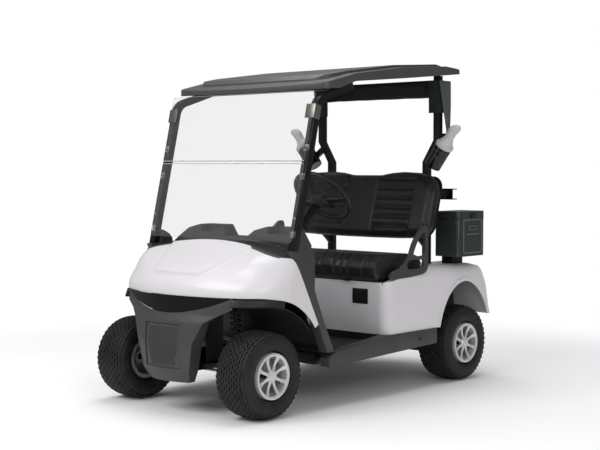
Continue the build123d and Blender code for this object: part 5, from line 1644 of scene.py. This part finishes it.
@dataclass
class BenchUpholstery:
    """The bench cushion and its backrest, both sewn alike on the left and the right.

    Attributes:
        skin: how far the stuffing swells a pad past its blank.
        strip_half: x of the seams beside the middle strip.
        panel_outer: x of the outer seams on the backrest and on the cushion.
        piping_inset: from a pad's end to its piping, on the backrest and on the cushion.
        back_seam: depth, width and piping of the backrest's seams.
        cushion_seam: the same of the cushion's.
        piping: the same of the piping near both pads' ends.
        back_foot: y and z at the foot of the backrest's middle plane.
        back_top: y and z at its top.
        back_depth: where its blank starts behind that plane, and its thickness.
        back_rim: radius and segments of its rims.
        back_low: x and height along the lower edge.
        back_corner: from its end and height, round the lower corner.
        back_shoulder: from its end and from its top, round the upper corner.
        back_hump: x and from its top, over the hump to the dip in the middle.
        back_side: how far behind the middle plane the seams run.
        channels: the height below the first channel, their spacing and their number.
        channel: depth and width of a channel.
        cushion_low: from the floor of the cushion's box to its blank.
        cushion_rim: radius and segments of its rims.
        front_low: from its front and its floor, round the lower front corner.
        front_high: from its front and its top, round the upper front corner.
        rear_high: from its rear and its top, round the upper rear corner.
        rear_low: from its rear and its floor, round the lower rear corner.
        sewn_z: how far above its floor the seams start, and the ribs.
        rib_rear: how far from its rear the ribs end.
        ribs: the x before the first rib, their spacing and their number.
        rib: depth and width of a rib.
    """

    skin: float = 0.009
    strip_half: float = 0.115
    panel_outer: Pair = (0.400, 0.420)
    piping_inset: Pair = (0.026, 0.030)
    back_seam: Point = (0.008, 0.0042, 0.0010)
    cushion_seam: Point = (0.007, 0.0042, 0.0010)
    piping: Point = (0.004, 0.0040, 0.0016)
    back_foot: Pair = (0.454, 0.855)
    back_top: Pair = (0.5654, 1.262)
    back_depth: Pair = (-0.040, 0.078)
    back_rim: tuple[float, int] = (0.036, 6)
    back_low: Outline = ((0.10, 0.002), (0.300, 0.004))
    back_corner: Outline = ((0.075, 0.010), (0.022, 0.032), (0.0, 0.085))
    back_shoulder: Outline = ((0.0, 0.120), (0.020, 0.062), (0.068, 0.022))
    back_hump: Outline = ((0.405, 0.006), (0.280, 0.0), (0.190, 0.007), (0.110, 0.022))
    back_side: float = 0.03
    channels: tuple[float, float, int] = (0.012, 0.058, 6)
    channel: Pair = (0.0085, 0.0120)
    cushion_low: float = 0.006
    cushion_rim: tuple[float, int] = (0.026, 5)
    front_low: Outline = ((0.030, 0.0), (0.004, 0.030), (0.0, 0.070))
    front_high: Outline = ((0.022, 0.020), (0.070, 0.0), (0.18, 0.004))
    rear_high: Outline = ((0.10, 0.010), (0.03, 0.012), (0.0, 0.034))
    rear_low: Outline = ((0.0, 0.012), (0.012, 0.0))
    sewn_z: Pair = (0.02, 0.03)
    rib_rear: float = 0.06
    ribs: tuple[float, float, int] = (0.150, 0.052, 3)
    rib: Pair = (0.0028, 0.012)

    @staticmethod
    def across(places: list[float], shown: Callable[[Vector], bool], depth: float, width: float,
               ridge: float = 0.0) -> list[Seam]:
        """Lists seams at stated distances on both sides of the middle plane.

        Args:
            places: their distances.
            shown: tells whether a point is on the sewn face.
            depth: how deep they sink.
            width: how wide they are.
            ridge: height of their piping.

        Returns:
            The seams.
        """
        return [Seam(lambda p, x=x: abs(abs(p.x) - x) if shown(p) else 1.0, depth, width, ridge)
                for x in places]

    def backrest(self) -> None:
        """Builds the backrest with two humps and sewn channels."""
        half_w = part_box("backrest")[1].x - self.skin
        foot = Vector((0, *self.back_foot))
        rise = Vector((0, *self.back_top)) - foot
        height = rise.length - self.skin
        rise.normalize()
        front = Vector((0, -rise.z, rise.y))
        right = [*self.back_low, *((half_w - x, s) for x, s in self.back_corner),
                 *((half_w - x, height - s) for x, s in self.back_shoulder),
                 *((x, height - s) for x, s in self.back_hump)]
        outline = right + [(-x, s) for x, s in reversed(right)]
        behind, thick = self.back_depth
        section = [foot + rise * s + Vector((x, 0, 0)) + front * behind for x, s in outline]
        start = blank(section, front * thick, *self.back_rim)

        def along(p: Vector) -> float:
            """Gives a point's height along the leaning back."""
            return (p - foot).dot(rise)

        def forward(p: Vector) -> float:
            """Gives a point's distance in front of the back's middle plane."""
            return (p - foot).dot(front)

        def in_panel(p: Vector) -> bool:
            """Tells whether a point is on the front of a channelled panel."""
            return forward(p) > 0 and self.strip_half < abs(p.x) < self.panel_outer[0]

        def sewn(p: Vector) -> bool:
            """Tells whether a point is on the front or the sides."""
            return forward(p) > -self.back_side

        seams = self.across([self.strip_half, self.panel_outer[0]], sewn, *self.back_seam)
        seams += self.across([half_w - self.piping_inset[0]], sewn, *self.piping)
        below, spacing, count = self.channels
        for level in (below + k * spacing for k in range(1, count + 1)):
            seams.append(Seam(lambda p, z=level: abs(along(p) - z) if in_panel(p) else 1.0, *self.channel))
        Pad("backrest_pad", "backrest", "chassis", start, seams).build()

    def cushion(self) -> None:
        """Builds the bench cushion with its rolled front edge."""
        low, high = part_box("seat_cushion")
        half_w = high.x - self.skin
        y0, y1 = low.y + self.skin, high.y - self.skin
        z0, z1 = low.z + self.cushion_low, high.z - self.skin
        side = [(y0 + y, z0 + z) for y, z in self.front_low]
        side += [(y0 + y, z1 - z) for y, z in self.front_high]
        side += [(y1 - y, z1 - z) for y, z in self.rear_high]
        side += [(y1 - y, z0 + z) for y, z in self.rear_low]
        section = [Vector((-half_w, y, z)) for y, z in side]
        start = blank(section, Vector((2 * half_w, 0, 0)), *self.cushion_rim)

        def sewn(p: Vector) -> bool:
            """Tells whether a point is above the cushion's foot."""
            return p.z > z0 + self.sewn_z[0]

        def ribbed(p: Vector) -> bool:
            """Tells whether a point is on the ribbed top or front."""
            return p.z > z0 + self.sewn_z[1] and p.y < y1 - self.rib_rear

        seams = self.across([self.strip_half, self.panel_outer[1]], sewn, *self.cushion_seam)
        seams += self.across([half_w - self.piping_inset[1]], sewn, *self.piping)
        before, spacing, count = self.ribs
        seams += self.across([before + k * spacing for k in range(1, count + 1)], ribbed, *self.rib)
        Pad("bench_cushion", "seat_cushion", "cushion", start, seams).build()

    def build(self) -> None:
        """Builds both pads."""
        self.backrest()
        self.cushion()


# ---- golf gear ------------------------------------------------------------------------------


@dataclass
class SandBottles:
    """Two bottles with shouldered caps and bent spouts in their holders' sleeves.

    Attributes:
        foot: the foot of the left bottle's axis.
        tilt: the axis's lean outwards.
        section: radii and heights up the bottle and its cap.
        bend: x, z and radius along the spout.
        sleeve: radii and heights round the sleeve's wall.
    """

    foot: Point = (0.465, 0.578, 1.2895)
    tilt: float = math.radians(36)
    section: Outline = ((0.001, 0.006), (0.045, 0.006), (0.045, 0.134), (0.047, 0.1355), (0.0530, 0.137),
                        (0.0550, 0.140), (0.0550, 0.158), (0.0530, 0.161), (0.047, 0.163), (0.0440, 0.167),
                        (0.040, 0.176), (0.034, 0.188), (0.0295, 0.198), (0.0275, 0.205))
    bend: tuple[Point, ...] = ((0.5826, 1.4513, 0.0280), (0.5900, 1.4620, 0.0275), (0.5980, 1.4740, 0.0275),
                               (0.6070, 1.4870, 0.0290), (0.6180, 1.4980, 0.0295), (0.6320, 1.5050, 0.0270),
                               (0.6450, 1.5080, 0.0225), (0.6550, 1.5090, 0.0185), (0.6610, 1.5090, 0.0110))
    sleeve: Outline = ((0.0475, 0.096), (0.0505, 0.096), (0.0510, 0.099), (0.0510, 0.131), (0.0500, 0.134),
                       (0.0465, 0.134), (0.0460, 0.126))

    def turned(self, section: Outline) -> Mesh:
        """Spins a section about the left bottle's axis.

        Args:
            section: radii and heights.

        Returns:
            The new mesh.
        """
        axis = Vector((math.sin(self.tilt), 0, math.cos(self.tilt)))
        foot = Vector(self.foot)
        across = axis.orthogonal().normalized()
        bm = bmesh.new()
        spin_section(bm, [foot + across * r + axis * h for r, h in section], foot, axis, 40)
        return bm

    def build(self) -> None:
        """Builds the left bottle and sleeve by spinning and sweeping, and mirrors them."""
        bottles = self.turned(self.section)
        path = [Vector((x, self.foot[1], z)) for x, z, _ in self.bend]
        loft(bottles, tube_rings(path, [r for _, _, r in self.bend], 32))
        mirror_x(bottles)
        fit(to_object(bottles, "sand_bottles", 50), "pale_poly", "chassis", "pale_plastic", "bottles")
        sleeves = self.turned(self.sleeve)
        mirror_x(sleeves)
        fit(to_object(sleeves, "holder_sleeves", 50), "gloss_black", "chassis", "black_plastic")


@dataclass
class StowedCover:
    """The golf-bag cover: its swinging bow, the cloth folded under it, two side wings and two strut cuffs.

    Attributes:
        half_w: half of the bow's width.
        pivot: y and z of the bow's pivots.
        bow_y: the bar's front and rear.
        bow_z: its underside and top.
        arm_y: how far an arm reaches in front of and behind the pivot.
        arm_foot: how far it reaches below the pivot.
        arm_half: half of its thickness.
        arm_off: from the bar's end to its middle.
        bow_round: radius on the bow's edges.
        fold_y: y of the first fold.
        fold_step: from one fold to the next.
        folds: their number.
        fold_turn: how far the cloth swings out where it turns, as a share of the step.
        fold_clear: from the bar to the folds.
        low_z: height of the folds' lower edges.
        waves: height, waves and shift from fold to fold of the waves in the lower edges.
        bulge: the same of the folds' sideways swell.
        columns: quads across the cloth.
        strokes: quads down a fold.
        wing_front: y and z down a wing's front edge.
        wing_back: y and z down its rear edge.
        wing_flat: not used.
        wing_off: from the bow's end to a wing.
        wing_grid: quads down and across a wing.
        billow: height of a wing's swell and its waves down the wing.
        wrinkle: height of a wing's wrinkles and their waves in y and in z.
        cuff_x: the cuff's inner and outer x.
        cuff_y: its front and rear.
        cuff_z: its lower and upper edge.
        cuff_rows: quads up a cuff.
        cuff_front: the rounding of its inner front edge, from the inner x and the front.
        cuff_corner: the rounding of its outer front edge.
        cuff_wrinkle: height of its wrinkles and their waves in z and in x.
        thick: the cloth's thickness.
    """

    half_w: float = 0.4905
    pivot: Pair = (0.690, 1.465)
    bow_y: Pair = (0.692, 0.708)
    bow_z: Pair = (1.787, 1.798)
    arm_y: Pair = (0.009, 0.013)
    arm_foot: float = 0.012
    arm_half: float = 0.003
    arm_off: float = 0.002
    bow_round: float = 0.002
    fold_y: float = 0.6750
    fold_step: float = 0.0076
    folds: int = 7
    fold_turn: float = 0.42
    fold_clear: float = 0.0015
    low_z: float = 1.708
    waves: tuple[Point, Point] = ((0.0022, 9, 2.3), (0.0014, 23, 1))
    bulge: Point = (0.0011, 11, 1.7)
    columns: int = 120
    strokes: int = 6
    wing_front: Outline = ((0.600, 1.797), (0.636, 1.640), (0.672, 1.500), (0.694, 1.450))
    wing_back: Outline = ((0.712, 1.797), (0.716, 1.640), (0.712, 1.510))
    wing_flat: Pair = (0.135, 0.350)
    wing_off: float = 0.0085
    wing_grid: tuple[int, int] = (32, 8)
    billow: Pair = (0.0022, 9)
    wrinkle: Point = (0.0012, 34, 12)
    cuff_x: Pair = (0.402, 0.4835)
    cuff_y: Pair = (0.6185, 0.668)
    cuff_z: Pair = (1.606, 1.800)
    cuff_rows: int = 12
    cuff_front: Outline = ((0.0, 0.012), (0.004, 0.002), (0.020, 0.0))
    cuff_corner: float = 0.004
    cuff_wrinkle: Point = (0.0008, 40, 60)
    thick: float = 0.0016

    def cloth(self, name: str, rows: Rows, finish: str, body: str, *nodes: str) -> tuple[Object, float]:
        """Makes a piece of cloth.

        Args:
            name: the piece's name.
            rows: its points.
            finish: its finish's short name.
            body: the CAD body that it rides on.
            *nodes: the CAD nodes that it stands for.

        Returns:
            The piece and its area.
        """
        bm = bmesh.new()
        sheet_of(bm, rows)
        outwards(bm)
        area = sum(f.calc_area() for f in bm.faces)
        piece = to_object(bm, name, 60)
        modifier(piece, "cloth_thickness", "SOLIDIFY", thickness=self.thick, offset=0.0)
        return fit(piece, finish, body, "cover_fabric", *nodes), area

    def bow(self) -> Object:
        """Builds the bar and the two arms that swing on the struts' plates.

        Returns:
            The bow.
        """
        bm = bmesh.new()
        low, high = self.bow_z
        block(bm, (-self.half_w, self.bow_y[0], low), (self.half_w, self.bow_y[1], high), self.bow_round)
        for side in (-1, 1):
            x = side * (self.half_w + self.arm_off)
            block(bm, (x - self.arm_half, self.pivot[0] - self.arm_y[0], self.pivot[1] - self.arm_foot),
                  (x + self.arm_half, self.pivot[0] + self.arm_y[1], high), self.bow_round)
        return fit(to_object(bm, "cover_bow", 40), "powder_coat", "cover", "cover_fabric", "bag_cover")

    def fold_line(self, x: float) -> list[Vector]:
        """Lists the points down and up the folds, which wave a little along the bow.

        Args:
            x: where along the bow.

        Returns:
            The points in y and z, with x as given.
        """
        def wave(k: int, size: float, often: float, shift: float) -> float:
            """Gives a wave's height at x on fold k."""
            return size * math.sin(often * x + shift * k)

        top = self.bow_z[0] - self.fold_clear
        line = []
        for k in range(self.folds):
            y = self.fold_y + k * self.fold_step
            low = self.low_z + sum(wave(k, *sizes) for sizes in self.waves)
            bulge = wave(k, *self.bulge)
            stroke = [Vector((x, y + bulge * math.sin(math.pi * t), top + (low - top) * t))
                      for t in (i / self.strokes for i in range(self.strokes + 1))]
            if k % 2:
                stroke.reverse()
            line += stroke
            if k < self.folds - 1:
                turn = self.fold_turn if k % 2 else -self.fold_turn
                line.append(stroke[-1] + Vector((0, self.fold_step / 2, turn * self.fold_step)))
        return line

    def folded(self) -> None:
        """Builds the folded cloth under the bow.
        """
        width = 2 * self.half_w
        rows = [self.fold_line(width * i / self.columns - self.half_w) for i in range(self.columns + 1)]
        piece, _ = self.cloth("folded_cover", rows, "canvas", "cover", "bag_cover")

    @staticmethod
    def along(edge: Outline, t: float) -> Vector:
        """Gives a point on a broken line.

        Args:
            edge: the line's corners.
            t: how far along it, from 0 to 1.

        Returns:
            The point.
        """
        place = t * (len(edge) - 1)
        k = min(int(place), len(edge) - 2)
        return Vector(edge[k]).lerp(Vector(edge[k + 1]), place - k)

    def wings(self) -> None:
        """Builds the side wings that hang from the bow down to its pivots.
        """
        down, wide = self.wing_grid
        swell, often = self.billow
        size, in_y, in_z = self.wrinkle
        for side, name in SIDES:
            rows = []
            for t in (i / down for i in range(down + 1)):
                front, back = self.along(self.wing_front, t), self.along(self.wing_back, t)
                row = []
                for share in (j / wide for j in range(wide + 1)):
                    y, z = front.lerp(back, share)
                    out = swell * math.sin(math.pi * share) * math.sin(often * t)
                    out += size * math.sin(in_y * y + in_z * z)
                    row.append(Vector((side * (self.half_w + self.wing_off + out), y, z)))
                rows.append(row)
            piece, area = self.cloth(f"{name}_wing", rows, "wing_canvas", "cover")

    def cuffs(self) -> None:
        """Builds the cloth cuffs strapped round the struts' upper ends."""
        x0, x1 = self.cuff_x
        y0, y1 = self.cuff_y
        corner = self.cuff_corner
        around = [(x0 + x, y0 + y) for x, y in self.cuff_front]
        around += [(x1 - corner, y0), (x1, y0 + corner), (x1, y1)]
        height = self.cuff_z[1] - self.cuff_z[0]
        size, in_z, in_x = self.cuff_wrinkle
        for side, name in SIDES:
            rows = []
            for z in (self.cuff_z[0] + height * i / self.cuff_rows for i in range(self.cuff_rows + 1)):
                rows.append([Vector((side * x, y + size * math.sin(in_z * z + in_x * x), z))
                             for x, y in around])
            piece, area = self.cloth(f"{name}_strut_cuff", rows, "canvas", "chassis")

    def build(self) -> None:
        """Builds the cover's pieces."""
        bow = self.bow()
        self.folded()
        self.wings()
        self.cuffs()


# ---- studio -------------------------------------------------------------------------------------


@dataclass
class Studio:
    """Camera, lamps, world and floor.

    Attributes:
        camera_at: where the camera stands.
        azimuth: its turn about z.
        pitch: how far it looks down.
        lens: its focal length in millimetres.
        world_level: the surroundings' light on the cart.
        mirror_level: how bright they are in a reflection.
        floor_level: the far floor's light on the cart.
        floor_half: half of the floor's side.
        floor_colour: its colour.
        floor_fade: where the floor starts and ends to fade into white, from the middle.
        aim: the point that the lamps look at.
        lamps: each lamp's name, place, side and power in watts.
    """

    camera_at: Point = (4.884, -5.523, 1.2886)
    azimuth: float = math.radians(41.92)
    pitch: float = math.radians(2.68)
    lens: float = 75.42
    world_level: float = 0.42
    mirror_level: float = 0.22
    floor_level: float = 0.6
    floor_half: float = 30.0
    floor_colour: str = "F7F6F7"
    floor_fade: Pair = (1.9, 3.6)
    aim: Point = (0, 0, 0.8)
    lamps: tuple[tuple[str, Point, float, float], ...] = (
        ("key_soft_box", (-0.8, -5.5, 5.2), 4.0, 225), ("top_soft_box", (-0.5, 0.8, 5.8), 4.5, 185),
        ("rim_soft_box", (5.0, -3.2, 2.4), 2.5, 60))

    def camera(self) -> None:
        """Places the camera."""
        data = bpy.data.cameras.new("studio_camera")
        data.lens = self.lens
        data.sensor_width = 36.0
        camera = bpy.data.objects.new("studio_camera", data)
        camera.location = self.camera_at
        camera.rotation_euler = (math.pi / 2 - self.pitch, 0.0, self.azimuth)
        bpy.context.scene.collection.objects.link(camera)
        bpy.context.scene.camera = camera

    def lamp(self, name: str, at: Point, size: float, power: float) -> None:
        """Adds a square soft box that looks at the cart.

        Args:
            name: the lamp's name.
            at: where it stands.
            size: its side.
            power: its power in watts.
        """
        data = bpy.data.lights.new(name, "AREA")
        data.size = size
        data.energy = power
        lamp = bpy.data.objects.new(name, data)
        lamp.location = at
        lamp.rotation_euler = (Vector(self.aim) - Vector(at)).to_track_quat("-Z", "Y").to_euler()
        bpy.context.scene.collection.objects.link(lamp)

    def backdrop(self, tree: Tree, level: float) -> Socket:
        """Gives 1 for rays that should meet plain white and level for the rest.

        Args:
            tree: the nodes that take the sum.
            level: the value for light that falls on the cart.

        Returns:
            The strength.
        """
        path = add(tree, "ShaderNodeLightPath").outputs
        seen = add(tree, "ShaderNodeMath", {0: path["Is Camera Ray"], 1: path["Is Transmission Ray"]},
                   operation="MAXIMUM").outputs[0]
        mirrored = add(tree, "ShaderNodeMapRange", {"Value": path["Is Glossy Ray"], "To Min": level,
                                                    "To Max": self.mirror_level}).outputs["Result"]
        strength = add(tree, "ShaderNodeMapRange", {"Value": seen, "To Min": mirrored, "To Max": 1.0})
        return strength.outputs["Result"]

    def world(self) -> None:
        """Makes the even white surroundings."""
        world = bpy.data.worlds.new("studio_world")
        bpy.context.scene.world = world
        world.use_nodes = True
        ground = world.node_tree.nodes["Background"]
        ground.inputs["Color"].default_value = WHITE
        world.node_tree.links.new(self.backdrop(world.node_tree, self.world_level), ground.inputs["Strength"])

    def floor(self) -> None:
        """Lays a pale floor that fades into the white surroundings."""
        bm = bmesh.new()
        bmesh.ops.create_grid(bm, x_segments=1, y_segments=1, size=self.floor_half)
        piece = to_object(bm, "studio_floor")
        material = bpy.data.materials.new("pale_painted_floor")
        material.use_nodes = True
        tree = material.node_tree
        tree.nodes.clear()
        place = add(tree, "ShaderNodeTexCoord").outputs["Object"]
        radius = add(tree, "ShaderNodeVectorMath", {0: place}, operation="LENGTH")
        near, white = self.floor_fade
        far = add(tree, "ShaderNodeMapRange", {"Value": radius.outputs["Value"], "From Min": near,
                                               "From Max": white}, interpolation_type="SMOOTHSTEP")
        matt = add(tree, "ShaderNodeBsdfDiffuse", {"Color": linear(self.floor_colour)})
        light = self.backdrop(tree, self.floor_level)
        glow = add(tree, "ShaderNodeEmission", {"Color": WHITE, "Strength": light})
        mixed = add(tree, "ShaderNodeMixShader", {0: far.outputs["Result"], 1: matt.outputs[0],
                                                  2: glow.outputs[0]})
        add(tree, "ShaderNodeOutputMaterial", {"Surface": mixed.outputs[0]})
        piece.data.materials.append(material)

    def build(self) -> None:
        """Sets up the studio."""
        self.camera()
        self.world()
        for lamp in self.lamps:
            self.lamp(*lamp)
        self.floor()
        bpy.context.scene.view_settings.view_transform = "Standard"


WHEELS = {"fl": "wheel_front_left", "fr": "wheel_front_right", "rl": "wheel_rear_left",
          "rr": "wheel_rear_right"}
MAKERS = (Cowl, Grille, CoilSprings, SteeringWheel, HipRestraints, Fittings, BenchUpholstery, SandBottles,
          StowedCover)


def main() -> None:
    """Builds the studio, dresses the solids and adds the pieces."""
    logging.basicConfig(level=logging.INFO, format="%(name)s: %(message)s")
    Studio().build()
    SolidDresser().dress()
    for name, body in WHEELS.items():
        TurfTyre(name, body).build()
    for maker in MAKERS:
        maker().build()


if __name__ == "__main__":
    main()
